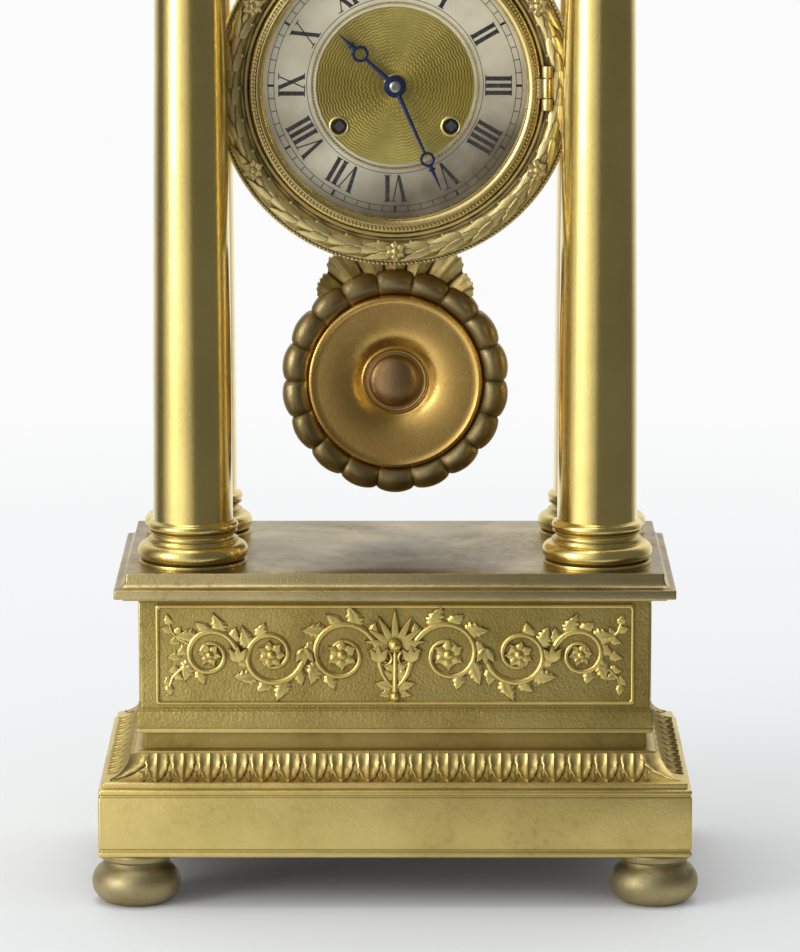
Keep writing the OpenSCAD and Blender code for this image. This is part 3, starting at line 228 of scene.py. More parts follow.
def gilt(name, gold, tarnish, rough, spots=0.35, soil=0.8, grain=0.25, shine=0.0, alone=True):
    """Fire-gilt bronze: paler where it is rubbed, brown in its hollows, with a fine cast or stoned grain.
    With alone=False the brown also gathers round what is fixed on it."""
    material, tree, shader, where = new_material(name)
    clouds = noise(tree, where, cloud_scale, 6, Roughness=0.62)
    specks = noise(tree, where, speck_scale, 4)
    hollows = node(tree, "ShaderNodeAmbientOcclusion", {"Distance": dirt_reach}, samples=8, only_local=alone)
    crevice = remap(tree, hollows.outputs["AO"], 0.9, 0.35, 0.0, soil)
    cloudy = remap(tree, clouds, 0.46, 0.72, 0.0, spots)
    speckled = calc(tree, "MULTIPLY", remap(tree, specks, 0.52, 0.70), cloudy)
    age = calc(tree, "MAXIMUM", crevice, calc(tree, "MULTIPLY_ADD", cloudy, 0.6, speckled))
    rubbed_and_painted_highlight = tuple(min(1, c * 1.10 + 0.03) for c in gold)
    fresh = mix_colours(tree, remap(tree, clouds, 0.30, 0.60), rubbed_and_painted_highlight, gold)
    roughness = calc(tree, "MULTIPLY_ADD", age, 0.30, rough - 0.05)
    roughness = calc(tree, "MULTIPLY_ADD", specks, 0.10, roughness)
    plug(tree, shader, {"Base Color": mix_colours(tree, age, fresh, tarnish), "Roughness": roughness,
                        "Metallic": 1.0, "Coat Weight": shine})
    pits = noise(tree, where, pit_scale, 3)
    waves = noise(tree, where, wave_scale, 2)
    emboss(tree, shader, calc(tree, "MULTIPLY_ADD", waves, 1.5, pits), grain, grain_depth)
    return material


def soften(outline, size, steps=3, closed=False):
    """Rounds the sharp corners of an outline of (out, up) points."""
    made = []
    last = len(outline) - 1
    for i, point in enumerate(outline):
        corner = Vector(point)
        ahead = Vector(outline[(i + 1) % (last + 1)]) - corner
        behind = Vector(outline[i - 1]) - corner
        at_end = not closed and i in (0, last)
        if at_end or min(ahead.length, behind.length) < 1e-7 or ahead.angle(behind) > radians(155):
            made.append(tuple(corner))
            continue
        start = corner + behind.normalized() * min(size, 0.4 * behind.length)
        end = corner + ahead.normalized() * min(size, 0.4 * ahead.length)
        for k in range(steps + 1):
            t = k / steps
            made.append(tuple(start * (1 - t) ** 2 + corner * 2 * t * (1 - t) + end * t * t))
    return made


def arc(out, up, radius, first, last, steps=8):
    """Points of an arc, from one direction to another in degrees."""
    turns = [radians(first + (last - first) * i / steps) for i in range(steps + 1)]
    return [(out + radius * cos(a), up + radius * sin(a)) for a in turns]


def turned(outline, steps=96, middle=(0, 0, 0), lying=False):
    """Turns an outline of (radius, height) round an upright axis, or with lying=True round one that
    runs back from the dial, where height is depth."""
    verts, rings = [], []
    for radius, height in outline:
        count = steps if radius > 1e-6 else 1
        rings.append(range(len(verts), len(verts) + count))
        for k in range(count):
            a = 2 * pi * k / steps
            x, z = radius * cos(a), radius * sin(a)
            spot = (x, height, z) if lying else (x, z, height)
            verts.append(tuple(Vector(spot) + Vector(middle)))
    pairs = list(zip(rings, rings[1:]))
    if len(rings[0]) > 1 and len(rings[-1]) > 1:
        pairs.append((rings[-1], rings[0]))
    faces = []
    for low, high in pairs:
        for k in range(steps):
            n = (k + 1) % steps
            ring = [low[k % len(low)], low[n % len(low)], high[n % len(high)], high[k % len(high)]]
            face = tuple(dict.fromkeys(ring))
            if len(face) > 2:
                faces.append(face)
    return verts, faces


def piece(name, parts, material, body, slot, *nodes):
    """Joins mesh parts into one finished piece that rides on a body and stands for CAD nodes."""
    verts, faces = [], []
    for part_verts, part_faces in parts:
        start = len(verts)
        verts += part_verts
        faces += [tuple(start + i for i in face) for face in part_faces]
    mesh = bpy.data.meshes.new(name)
    mesh.from_pydata(verts, [], faces)
    work = bmesh.new()
    work.from_mesh(mesh)
    bmesh.ops.remove_doubles(work, verts=work.verts, dist=weld_gap)
    bmesh.ops.recalc_face_normals(work, faces=work.faces)
    work.to_mesh(mesh)
    work.free()
    mesh.shade_smooth()
    mesh.set_sharp_from_angle(angle=radians(sharp_angle))
    mesh.materials.append(material)
    made = bpy.data.objects.new(name, mesh)
    scene.collection.objects.link(made)
    if nodes:
        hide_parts(*nodes)
    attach(made, body)


def profile(points, level=0.0, rounding=0.3, closed=True):
    """Outline of (out, up) points in millimetres above a level, as a softened one in metres."""
    outline = [(out * MM, (up + level / MM) * MM) for out, up in points]
    return soften(outline, rounding * MM, closed=closed) if rounding else outline


def four_corners(x, y):
    """The same place in all four corners of the case."""
    return [(sx * x, sy * y, 0) for sx in (-1, 1) for sy in (-1, 1)]


foot_gilt = gilt("foot_gilt", (0.40, 0.33, 0.165), (0.12, 0.09, 0.04), 0.50, spots=0.6)
bun_r, bun_h = 18, 21
ball_r = 8.4
stud_r, stud_top = 4, 25
low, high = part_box("bun_feet")
outline = [(0, 0), (9.2, 0), (9.8, 0.3)] + arc(9.6, ball_r, ball_r, -70, 58, 14)
outline += [(13.2, 16.6), (12.9, 17.5), (14.4, 18.2), (14.6, 20.3), (14.3, bun_h)]
outline += [(stud_r, bun_h), (stud_r, stud_top), (0, stud_top)]
outline = profile(outline, closed=False)
feet = [turned(outline, 72, spot) for spot in four_corners(high.x - bun_r * MM, high.y - bun_r * MM)]
piece("bun_foot_castings", feet, foot_gilt, "case", "gilt_satin", "bun_feet")


# Floor plate
# A stained board inside the plinth block. The studs of the feet go up through it.
def finish_nodes(material, *names):
    """Gives CAD nodes that stay as they are their finish."""
    for name in names:
        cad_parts[name].data.materials.clear()
        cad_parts[name].data.materials.append(material)


board, tree, shader, where = new_material("stained_board")
along = node(tree, "ShaderNodeMapping", {"Vector": where, "Scale": (6, 140, 140)}).outputs[0]
grain = noise(tree, along, 1.0, 6)
colour = mix_colours(tree, remap(tree, grain, 0.3, 0.7), (0.05, 0.026, 0.013), (0.16, 0.085, 0.04))
plug(tree, shader, {"Base Color": colour, "Roughness": 0.7})
emboss(tree, shader, grain, 0.4, 0.0005)
finish_nodes(board, "base_floor")


# Plinth block
# The lowest step of the case: a hollow casting with plain, stoned and gilt faces, a fine raised line
# along its top edge and another above the feet.
def tube_faces(rows, ring, closed=True):
    """Faces between rings of points. The last ring joins the first, or else both ends get a lid."""
    faces = []
    for i in range(rows if closed else rows - 1):
        j = (i + 1) % rows
        for k in range(ring):
            n = (k + 1) % ring
            faces.append((i * ring + k, i * ring + n, j * ring + n, j * ring + k))
    if not closed:
        faces += [tuple(range(ring)), tuple(range((rows - 1) * ring, rows * ring))]
    return faces


def swept(outline, half_w, half_d, round_r=0.9 * MM, steps=3, capped=False):
    """Sweeps an outline of (out, up) points round a rectangle, with slightly rounded upright edges."""
    verts = []
    for out, up in outline:
        for i, (sx, sy) in enumerate([(1, -1), (1, 1), (-1, 1), (-1, -1)]):
            x, y = sx * (half_w + out - round_r), sy * (half_d + out - round_r)
            for k in range(steps + 1):
                a = radians(90 * (i - 1) + 90 * k / steps)
                verts.append((x + round_r * cos(a), y + round_r * sin(a), up))
    return verts, tube_faces(len(outline), 4 * (steps + 1), not capped)


def half_sizes(name):
    """Half the width and depth of a CAD node, its lowest level, and its height in millimetres."""
    low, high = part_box(name)
    return (high.x - low.x) / 2, (high.y - low.y) / 2, low.z, (high.z - low.z) / MM


wall = 5
plinth_w, plinth_d, plinth_z, plinth_h = half_sizes("plinth_block")
outline = [(-wall, 0), (-0.8, 0), (-0.2, 0.5), (-0.2, 2.0), (-0.9, 2.5), (-0.9, 3.2), (-0.3, 3.6),
           (-0.3, plinth_h - 3.4), (-0.9, plinth_h - 3.0), (-0.9, plinth_h - 2.3), (-0.3, plinth_h - 1.9),
           (-0.5, plinth_h - 0.5), (-1.6, plinth_h), (-wall, plinth_h)]
pale_gilt = gilt("pale_gilt", (0.67, 0.53, 0.185), (0.17, 0.115, 0.035), 0.40, spots=0.28)
plinth = swept(profile(outline, plinth_z, 0.35), plinth_w, plinth_d)
piece("plinth_casting", [plinth], pale_gilt, "case", "gilt_satin", "plinth_block")


# Leaf moulding
# A hollow casting with a row of broad water leaves that hang over its hollow, narrow darts between
# them and a folded leaf on each corner, under a deep groove and a plain fillet.
def node_tree(name, **sizes):
    """Geometry tree with named inputs for its unit, its finish, the count and its sizes."""
    tree = bpy.data.node_groups.new(name, "GeometryNodeTree")
    kinds = {"Geometry": "Geometry", "Unit": "Object", "Finish": "Material", "Count": "Int", **sizes}
    for label, kind in kinds.items():
        tree.interface.new_socket(label, in_out="INPUT", socket_type="NodeSocket" + kind)
    tree.interface.new_socket("Geometry", in_out="OUTPUT", socket_type="NodeSocketGeometry")
    return tree, node(tree, "NodeGroupInput").outputs, node(tree, "GeometryNodeInputIndex").outputs[0]


def plant(tree, sizes, spot, turn):
    """Puts the unit on each spot, turned, makes it real and gives it its finish."""
    unit = node(tree, "GeometryNodeObjectInfo", {"Object": sizes["Unit"]}).outputs["Geometry"]
    spots = node(tree, "GeometryNodePoints", {"Count": sizes["Count"], "Position": spot}).outputs[0]
    facing = node(tree, "FunctionNodeEulerToRotation", {0: turn}).outputs[0]
    links = {"Points": spots, "Instance": unit, "Rotation": facing}
    copies = node(tree, "GeometryNodeInstanceOnPoints", links).outputs[0]
    real = node(tree, "GeometryNodeRealizeInstances", {0: copies}).outputs[0]
    done = node(tree, "GeometryNodeSetMaterial", {"Geometry": real, "Material": sizes["Finish"]}).outputs[0]
    node(tree, "NodeGroupOutput", {0: done})


row_tree, sizes, number = node_tree("row_of_units", Pitch="Float", Reach="Float", Turn="Float")
middle_number = calc(row_tree, "DIVIDE", calc(row_tree, "SUBTRACT", sizes["Count"], 1.0), 2.0)
along = calc(row_tree, "MULTIPLY", calc(row_tree, "SUBTRACT", number, middle_number), sizes["Pitch"])
to_front = calc(row_tree, "MULTIPLY", sizes["Reach"], -1.0)
spot = node(row_tree, "ShaderNodeCombineXYZ", {0: along, 1: to_front}).outputs[0]
links = {"Vector": spot, "Angle": sizes["Turn"]}
spot = node(row_tree, "ShaderNodeVectorRotate", links, rotation_type="Z_AXIS").outputs[0]
plant(row_tree, sizes, spot, node(row_tree, "ShaderNodeCombineXYZ", {2: sizes["Turn"]}).outputs[0])


def grow(tree, unit, finish, **values):
    """Runs a geometry tree once on a unit part and returns the result as a plain part."""
    mesh = bpy.data.meshes.new("unit")
    mesh.from_pydata(unit[0], [], unit[1])
    seed = bpy.data.objects.new("unit", mesh)
    maker = bpy.data.objects.new("maker", bpy.data.meshes.new("maker"))
    scene.collection.objects.link(seed)
    scene.collection.objects.link(maker)
    modifier = maker.modifiers.new("tree", "NODES")
    modifier.node_group = tree
    values.update(Unit=seed, Finish=finish)
    for item in tree.interface.items_tree:
        if item.in_out == "INPUT" and item.name in values:
            modifier[item.identifier] = values[item.name]
    shape = bpy.data.meshes.new_from_object(maker.evaluated_get(bpy.context.evaluated_depsgraph_get()))
    part = [tuple(v.co) for v in shape.vertices], [tuple(f.vertices) for f in shape.polygons]
    maker.modifiers.clear()
    bpy.data.objects.remove(maker)
    bpy.data.objects.remove(seed)
    bpy.data.meshes.remove(shape)
    return part


def four_sides(half_w, half_d):
    """Turn in degrees, distance from the middle and half length of the sides of a rectangle."""
    return [(0, half_d, half_w), (90, half_w, half_d), (180, half_d, half_w), (270, half_w, half_d)]


def row_round(unit, finish, half_w, half_d, pitch, corner, fewer=0):
    """Units in rows on the four sides, which reach past the rectangle by the corner's size."""
    rows = []
    for turn, reach, half in four_sides(half_w, half_d):
        count = round(2 * (half + corner) / pitch)
        rows.append(grow(row_tree, unit, finish, Count=count - fewer, Pitch=2 * (half + corner) / count,
                         Reach=reach, Turn=radians(turn)))
    return rows


def relief(at, rise, under, across=8, along=10):
    """Closed thin casting, where at(u, v, lift) is a point of it for u from -1 to 1 and v from 0 to 1.
    rise(u, v) is the lift of its front and under, a number or such a function, that of its back."""
    verts = []
    for lift in (rise, under):
        for j in range(along + 1):
            for i in range(across + 1):
                u, v = -1 + 2 * i / across, j / along
                verts.append(at(u, v, lift(u, v) if callable(lift) else lift))
    wide = across + 1
    half = wide * (along + 1)
    faces = []
    for j in range(along):
        for i in range(across):
            a = j * wide + i
            faces.append((a, a + 1, a + wide + 1, a + wide))
            faces.append((half + a, half + a + wide, half + a + wide + 1, half + a + 1))
    edge = list(range(across)) + [j * wide + across for j in range(along)]
    edge += [along * wide + i for i in range(across, 0, -1)] + [j * wide for j in range(along, 0, -1)]
    for a, b in zip(edge, edge[1:] + edge[:1]):
        faces.append((a, b, half + b, half + a))
    return verts, faces


def moved(part, matrix):
    """A mesh part, turned and shifted by a matrix."""
    verts, faces = part
    return [tuple(matrix @ Vector(v)) for v in verts], faces


def shift(x=0.0, y=0.0, z=0.0):
    """Matrix of a shift."""
    return Matrix.Translation((x, y, z))


def spin(degrees, axis="Y"):
    """Matrix of a turn. Seen from the front, a turn round Y is clockwise."""
    return Matrix.Rotation(radians(degrees), 4, axis)


band_out, band_h = 1.5, 8
die_w, die_d, die_z, die_h = half_sizes("die")
die_w, die_d = die_w - band_out * MM, die_d - band_out * MM
leaf_w, leaf_d, leaf_z, leaf_h = half_sizes("leaf_moulding")
lip = (leaf_w - die_w) / MM
shoulder = leaf_h - band_h


def hollow(share):
    """Point (out, up) of the hollow, from its top at 0 to its lip at 1."""
    t = radians(90 * (1 - share))
    return lip - 1 - (lip - 4.5) * sin(t), 2.6 + (shoulder - 4.4) * (1 - cos(t))


def hollow_leaf(half_wide, proud, lobes, across, along, stretch=1.0, start=0.0, tip=1.0, fold=0.0, curl=0.7):
    """Leaf that follows the hollow: u runs across it and v from its root at the top to its tip."""
    def at(u, v, lift):
        share = start + (tip - start) * v
        out, up = hollow(share)
        nearby = hollow(share + 0.01)
        normal = Vector((up - nearby[1], nearby[0] - out)).normalized()
        wide = half_wide * (1 - v ** 2.3) ** 0.75 * (0.93 + 0.07 * sin(pi * min(1, v * 1.6)))
        wide *= 1 - 0.09 * (1 - abs(sin(pi * lobes * v))) ** 2
        front = (out + normal[0] * lift) * stretch - fold * wide * abs(u)
        return wide * u * MM, -front * MM, leaf_z + (up + normal[1] * lift) * MM

    def rise(u, v):
        rim = exp(-(((abs(u) - 0.84) / 0.15) ** 2))
        rib = exp(-((u / 0.13) ** 2))
        vein = 0.22 * sin(2 * pi * lobes * v - 4.0 * abs(u)) * abs(u)
        swell = 0.45 + 0.55 * sin(pi * min(1, v * 0.9 + 0.1))
        return (0.3 + proud * (0.55 * rim + 0.8 * rib + vein)) * swell + curl * max(0, v - 0.8) / 0.2

    return relief(at, rise, -0.5, across, along)


leaf_pitch = 10.5 * MM
leaf_corner = 4 * MM
outline = [(-wall, 0), (lip, 0), (lip, 2)] + [hollow(1 - i / 10) for i in range(11)]
outline += [(2.5, shoulder - 1.9), (2.4, shoulder - 1.2), (-1.5, shoulder - 0.8), (-1.5, leaf_h - 2.2),
            (1.3, leaf_h - 2.0), (band_out, leaf_h - 1.6), (band_out, leaf_h), (-wall, leaf_h)]
broad_leaf = hollow_leaf(5.1, 0.9, 3, 16, 18, tip=0.99)
dart_leaf = hollow_leaf(1.5, 0.7, 1, 4, 8, start=0.5, curl=0.2)
corner_leaf = hollow_leaf(5.6, 0.8, 4, 16, 18, stretch=sqrt(2), tip=0.88, fold=1.0, curl=0)
leaves = [swept(profile(outline, leaf_z), die_w, die_d)]
leaves += row_round(broad_leaf, pale_gilt, die_w, die_d, leaf_pitch, leaf_corner, fewer=1)
leaves += row_round(dart_leaf, pale_gilt, die_w, die_d, leaf_pitch, leaf_corner)
for turn, sx, sy in ((45, 1, -1), (135, 1, 1), (225, -1, 1), (315, -1, -1)):
    leaves.append(moved(corner_leaf, shift(sx * die_w, sy * die_d) @ spin(turn, "Z")))
leaf_gilt = gilt("leaf_gilt", (0.63, 0.49, 0.175), (0.16, 0.11, 0.035), 0.42, spots=0.30, soil=0.9)
piece("leaf_moulding_casting", leaves, leaf_gilt, "case", "gilt_satin", "leaf_moulding")
# Painted shade: a dark strip set in the groove behind the leaves makes the groove look deeper in shadow.
groove_painted_shade = gilt("groove_painted_shade", (0.37, 0.27, 0.075), (0.10, 0.07, 0.02), 0.6, spots=0.5)
strip = [(-2.0, shoulder - 0.7), (-1.35, shoulder - 0.7), (-1.35, leaf_h - 2.3), (-2.0, leaf_h - 2.3)]
strip = profile(strip, leaf_z, rounding=0)
piece("groove_ground", [swept(strip, die_w, die_d)], groove_painted_shade, "case", "gilt_satin")


# Die
# The hollow block that carries the ornament. Its faces are matt ground, framed by a thin burnished
# bead, above a plain band that stands out a little.
outline = [(-wall, 0), (band_out, 0), (band_out, band_h - 1.2), (0.9, band_h - 0.6), (0.6, band_h),
           (0, band_h + 0.5), (0, die_h - 1.8), (0.7, die_h - 1.4), (0.7, die_h), (-wall, die_h)]
die = swept(profile(outline, die_z), die_w, die_d)
matt_gilt = gilt("matt_gilt", (0.42, 0.32, 0.095), (0.13, 0.09, 0.028), 0.50, spots=0.45, grain=0.8,
                 alone=False)
piece("die_casting", [die], matt_gilt, "case", "gilt_matt", "die")

field_low, field_high = band_h + 2.2, die_h - 3.4
field_mid = die_z + (field_low + field_high) / 2 * MM
field_half = (field_high - field_low) / 2 * MM
frame_in = 7 * MM
bead_r = 0.8
bead = profile([(-bead_r, -0.3)] + arc(0, 0, bead_r, 180, 0, 6) + [(bead_r, -0.3)], rounding=0)
beads = []
for turn, reach, half in four_sides(die_w, die_d):
    flat_frame = swept(bead, half - frame_in, field_half, round_r=1.2 * MM, steps=4)
    beads.append(moved(flat_frame, spin(turn, "Z") @ shift(0, -reach, field_mid) @ spin(90, "X")))
bright_gilt = gilt("bright_gilt", (0.78, 0.61, 0.20), (0.16, 0.11, 0.034), 0.30, spots=0.2)
piece("die_frame_beads", beads, bright_gilt, "case", "gilt_burnished")


# Ornament of the die
# A chased relief, cast thin and pinned on the matt ground: running scrolls with rosettes and leaves on
# each side of a palmette that stands on an upright stem.
def scroll_radius(radius, eye, share):
    """Radius of a scroll after a share of its length, on the way to its eye."""
    return radius + (eye - radius) * share ** 0.85


def scroll_points(middle, radius, sense, first, turns, eye):
    """Points (across, up) of a scroll that winds inwards, starting in a direction in degrees."""
    count = int(26 * turns)
    made = []
    for i in range(count + 1):
        a = radians(first + sense * 360 * turns * i / count)
        r = scroll_radius(radius, eye, i / count)
        made.append((middle[0] + r * cos(a), middle[1] + r * sin(a)))
    return made


def stem(path, thick, thin, proud, sides=6):
    """Half-round stem that tapers along a path of (across, up), raised towards the front."""
    verts = []
    last = len(path) - 1
    for i, (x, z) in enumerate(path):
        ahead = Vector(path[min(i + 1, last)]) - Vector(path[max(i - 1, 0)])
        side = Vector((-ahead.y, ahead.x)).normalized()
        r = thick + (thin - thick) * i / last
        for k in range(sides + 1):
            a = pi * k / sides
            depth = 0.3 - proud * (r / thick) ** 0.7 * sin(a)
            verts.append((x + side.x * r * cos(a), depth, z + side.y * r * cos(a)))
    return verts, tube_faces(last + 1, sides + 1, closed=False)


def chased_leaf(length, half_wide, proud, lobes=3, bend=0.0, across=6, along=9):
    """Leaf that grows up from its root, with a mid rib, lobed edges and a bend to one side."""
    def at(u, v, lift):
        wide = half_wide * sin(pi * min(1.0, 0.08 + 0.92 * v ** 0.75)) ** 0.8 + 0.05
        wide *= 1 - 0.34 * (1 - abs(sin(pi * lobes * (v + 0.04)))) ** 1.6 * (v > 0.1)
        return u * wide + bend * v ** 2 * length, -lift, v * length * (1 - 0.036 * abs(u) * lobes)

    def rise(u, v):
        across_it = 0.5 * sin(pi * min(1, abs(u))) + 0.45 * exp(-((u / 0.22) ** 2))
        return 0.25 + proud * (across_it * sin(pi * (0.12 + 0.8 * v)) + 0.35 * v ** 3)

    return relief(at, rise, -0.3, across, along)


def set_down(part, across, up, turn, size=1.0, lift=0.0):
    """Places a part that grows upwards on the relief, turned clockwise in degrees."""
    return moved(part, shift(across, -lift, up) @ spin(turn) @ Matrix.Scale(size, 4))


def dome(radius, level, proud, turns):
    """Outline of a round button: its top, then points down its side in directions in degrees."""
    side = [(radius * sin(radians(a)), -level - proud * cos(radians(a))) for a in turns]
    return [(0, -level - proud)] + side


def rosette(radius, petals, proud):
    """Open flower with a round button."""
    petal = chased_leaf(radius, radius * 0.42, proud, lobes=1, across=4, along=5)
    button = dome(radius * 0.34, proud * 0.6, proud * 1.1, (25, 50, 75, 90))
    button = turned(button + [(radius * 0.34, 0.3), (0, 0.3)], 14, lying=True)
    return [set_down(petal, 0, 0, 360 * i / petals) for i in range(petals)] + [button]


def in_place(parts, place):
    """Parts of a relief in millimetres, set in place in metres."""
    return [moved(part, place @ Matrix.Scale(MM, 4)) for part in parts]


long_leaf = {side: chased_leaf(10.5, 3.9, 1.6, 4, -0.22 * side, 8, 18) for side in (-1, 1)}
short_leaf = {side: chased_leaf(7.4, 3.0, 1.4, 3, -0.18 * side, 6, 12) for side in (-1, 1)}
husk_leaf = chased_leaf(7.0, 1.9, 1.5, lobes=1, across=6, along=8)
scroll_turns = 1.75
scroll_eye = 2.4
sense = -1
centre_x = 6.5
side_parts = []
for number, radius in enumerate([15.0, 13.5, 11.4]):
    centre_x += radius
    winding = scroll_points((centre_x, 0), radius, sense, 180, scroll_turns, scroll_eye)
    side_parts.append(stem(winding, 1.6, 0.8, 1.6))
    for fan in (-34, 34, 0):
        heading = 90 + 90 * sense + fan
        side_parts.append(set_down(husk_leaf, centre_x - radius, 2.6 * sense, heading, 0.95, lift=0.9))
    for part in rosette(radius * 0.44, 6 + number % 2, 1.5):
        side_parts.append(set_down(part, centre_x, 0, 11 * number, lift=0.25))
    for step, turn in enumerate((150, 118, 86, 54, 20, -20, -58)):
        a = radians(-sense * turn)
        r = scroll_radius(radius, scroll_eye, (180 - turn) / 360 / scroll_turns)
        heading = 90 + sense * (turn - 38)
        leaf = (long_leaf if step % 2 else short_leaf)[sense]
        spot = (centre_x + r * cos(a), r * sin(a))
        side_parts.append(set_down(leaf, *spot, heading, 0.62 + 0.02 * radius))
    centre_x += radius
    sense = -sense

side_parts.append(stem([(0.6, -13.5), (2.9, -11.2), (4.9, -8.0), (6.0, -4.4), (6.5, 0)], 1.0, 1.5, 1.3))
sprig = [(91.2, 12.4, 2, 0.62), (90.2, 9.8, 62, 0.62), (88.8, 7.8, -42, 0.62), (87.0, 6.2, 96, 0.66)]
for up in (1, -1):
    end_stem = [(83.2, 4.6 * up), (87.0, 6.4 * up), (90.0, 9.4 * up), (91.2, 13.0 * up)]
    side_parts.append(stem(end_stem, 1.1, 0.6, 1.3))
    for x, z, turn, size in sprig:
        side_parts.append(set_down(short_leaf[-1], x, up * z, turn if up > 0 else 180 - turn, size))
side_parts.append(set_down(short_leaf[-1], 86.6, -0.6, 86, 0.75))
other_side = [([(-x, y, z) for x, y, z in verts], faces) for verts, faces in side_parts]

centre_parts = [stem([(0, -17.5), (0, -8), (0, 2.5)], 1.5, 1.1, 2.0)]
for turn in (-96, -74, -50, -25, 0, 25, 50, 74, 96):
    petal = chased_leaf(15.5 - abs(turn) * 0.062, 1.9, 2.0, lobes=1, bend=0.0022 * turn)
    centre_parts.append(set_down(petal, sin(radians(turn)) * 1.5, 3.4, turn * 0.93))
knob = [(0, -4.4), (1.3, -4.1), (2.3, -3.2), (2.7, -1.6), (2.7, 0.3), (0, 0.3)]
for up, size in ((4.2, 1.0), (-17.0, 0.75)):
    centre_parts.append(set_down(turned(knob, 20, lying=True), 0, up, 0, size))
for side in (-1, 1):
    curl = scroll_points((side * 4.3, -1.6), 3.6, side, 90, 1.3, 0.9)
    centre_parts.append(stem([(0, 1.6)] + curl, 0.95, 0.55, 1.7))
    for z, turn, size in ((-15.6, 88, 0.58), (-13.6, 62, 0.74), (-10.0, 44, 0.68), (-6.8, 30, 0.6)):
        centre_parts.append(set_down(long_leaf[-side], side * 0.8, z, side * turn, size))

ornament = in_place(centre_parts + side_parts + other_side, shift(0, -die_d, field_mid))
ornament_gilt = gilt("ornament_gilt", (0.74, 0.58, 0.19), (0.12, 0.08, 0.022), 0.36, spots=0.25, soil=0.95)
piece("die_ornament", ornament, ornament_gilt, "case", "gilt_burnished", "base_mount")


# Slab
# The moulded slab on the die that the four columns stand on, cast in bronze and gilt. Its flat top has
# lost some of its colour.
def quarter(first, last, steps=8, cove=False):
    """Round quarter curve that leaves the first point upright and reaches the second flat, or with
    cove=True a hollow one that leaves it flat and arrives upright."""
    made = []
    for i in range(steps + 1):
        a = radians(90 * i / steps)
        share = (sin(a), 1 - cos(a)) if cove else (1 - cos(a), sin(a))
        made.append(tuple(near + (far - near) * s for near, far, s in zip(first, last, share)))
    return made


slab_w, slab_d, slab_z, slab_h = half_sizes("base_top")
slab_out = (slab_w - die_w) / MM
outline = [(-8, 0), (slab_out - 3.4, 0), (slab_out - 3.2, 0.9), (slab_out, 1.2), (slab_out, 4.8)]
outline += quarter((slab_out - 1.2, 5.2), (slab_out - 4.6, slab_h - 1.6), cove=True)
outline += [(slab_out - 4.6, slab_h), (-8, slab_h)]
slab_gilt = gilt("slab_gilt", (0.56, 0.45, 0.21), (0.20, 0.145, 0.05), 0.32, spots=0.5)
tree = slab_gilt.node_tree
shader = tree.nodes["Principled BSDF"]
where = node(tree, "ShaderNodeTexCoord").outputs["Object"]
normal = node(tree, "ShaderNodeNewGeometry").outputs["Normal"]
upright = node(tree, "ShaderNodeSeparateXYZ", {0: normal}).outputs["Z"]
patches = noise(tree, where, 26, 4, Distortion=0.6)
worn_and_painted_highlight = calc(tree, "MULTIPLY", remap(tree, upright, 0.8, 0.97), remap(tree, patches, 0.40, 0.60, 0.45, 0.95))
before = shader.inputs["Base Color"].links[0].from_socket
plug(tree, shader, {"Base Color": mix_colours(tree, worn_and_painted_highlight, before, (0.22, 0.165, 0.065))})
slab = swept(profile(outline, slab_z, closed=False), die_w, die_d, capped=True)
piece("slab_casting", [slab], slab_gilt, "case", "gilt_satin", "base_top")


# Column bases
# Turned from gilt bronze and burnished: a low drum, a fat ring, a hollow and a thin ring that meets the
# shaft. The rods of the case run through them.
low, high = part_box("column_bases")
shaft_low, shaft_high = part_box("columns")
rod_r = 3.2
base_r = 22.5
base_h = (high.z - low.z) / MM
ring_r = base_h * 0.2
column_x, column_y = high.x - base_r * MM, high.y - base_r * MM
column_spots = four_corners(column_x, column_y)
foot_r = (shaft_high.x - column_x) / MM
outline = [(rod_r, 0), (base_r - 0.6, 0), (base_r - 0.6, base_h * 0.08)]
outline += arc(base_r - ring_r - 0.1, base_h * 0.29, ring_r, -80, 82, 12)
outline += [(base_r - ring_r - 0.6, base_h * 0.50), (base_r - ring_r - 0.6, base_h * 0.57)]
outline += arc(foot_r + 2, base_h * 0.655, base_h * 0.083, -90, -270, 8)
outline += arc(foot_r + 0.4, base_h * 0.87, base_h * 0.1, -80, 80, 8)
outline = profile(outline + [(foot_r + 0.2, base_h), (rod_r, base_h)], low.z, 0.25)
base_gilt = gilt("base_gilt", (0.80, 0.63, 0.22), (0.20, 0.14, 0.05), 0.25, spots=0.25, grain=0.12)
bases = [turned(outline, 96, spot) for spot in column_spots]
piece("column_base_turnings", bases, base_gilt, "case", "gilt_satin", "column_bases")


# Columns
# Four plain round shafts of gilt bronze, a little thinner at the top with a slight swelling on the way,
# burnished lengthwise. Each is bored for the rod that holds the case together.
shaft_h = shaft_high.z - shaft_low.z
neck_r = 14.2
shaft_rows = 28
outline = [(rod_r * MM, shaft_low.z)]
for i in range(shaft_rows + 1):
    share = i / shaft_rows
    swell = 0.32 * sin(pi * share) * (1 - 0.5 * share)
    outline.append(((foot_r + (neck_r - foot_r) * share + swell) * MM, shaft_low.z + shaft_h * share))
outline.append((rod_r * MM, shaft_high.z))
column_gilt = gilt("column_gilt", (0.86, 0.66, 0.20), (0.26, 0.18, 0.06), 0.19, spots=0.16, soil=0.5,
                   grain=0.10, shine=1.0)
tree = column_gilt.node_tree
where = node(tree, "ShaderNodeTexCoord").outputs["Object"]
lengthwise = node(tree, "ShaderNodeMapping", {"Vector": where, "Scale": (700, 700, 14)}).outputs[0]
emboss(tree, tree.nodes["Principled BSDF"], noise(tree, lengthwise, 1.0, 3), 0.10, 0.0002)
shafts = [turned(outline, 96, spot) for spot in column_spots]
piece("column_shafts", shafts, column_gilt, "case", "gilt_column", "columns")


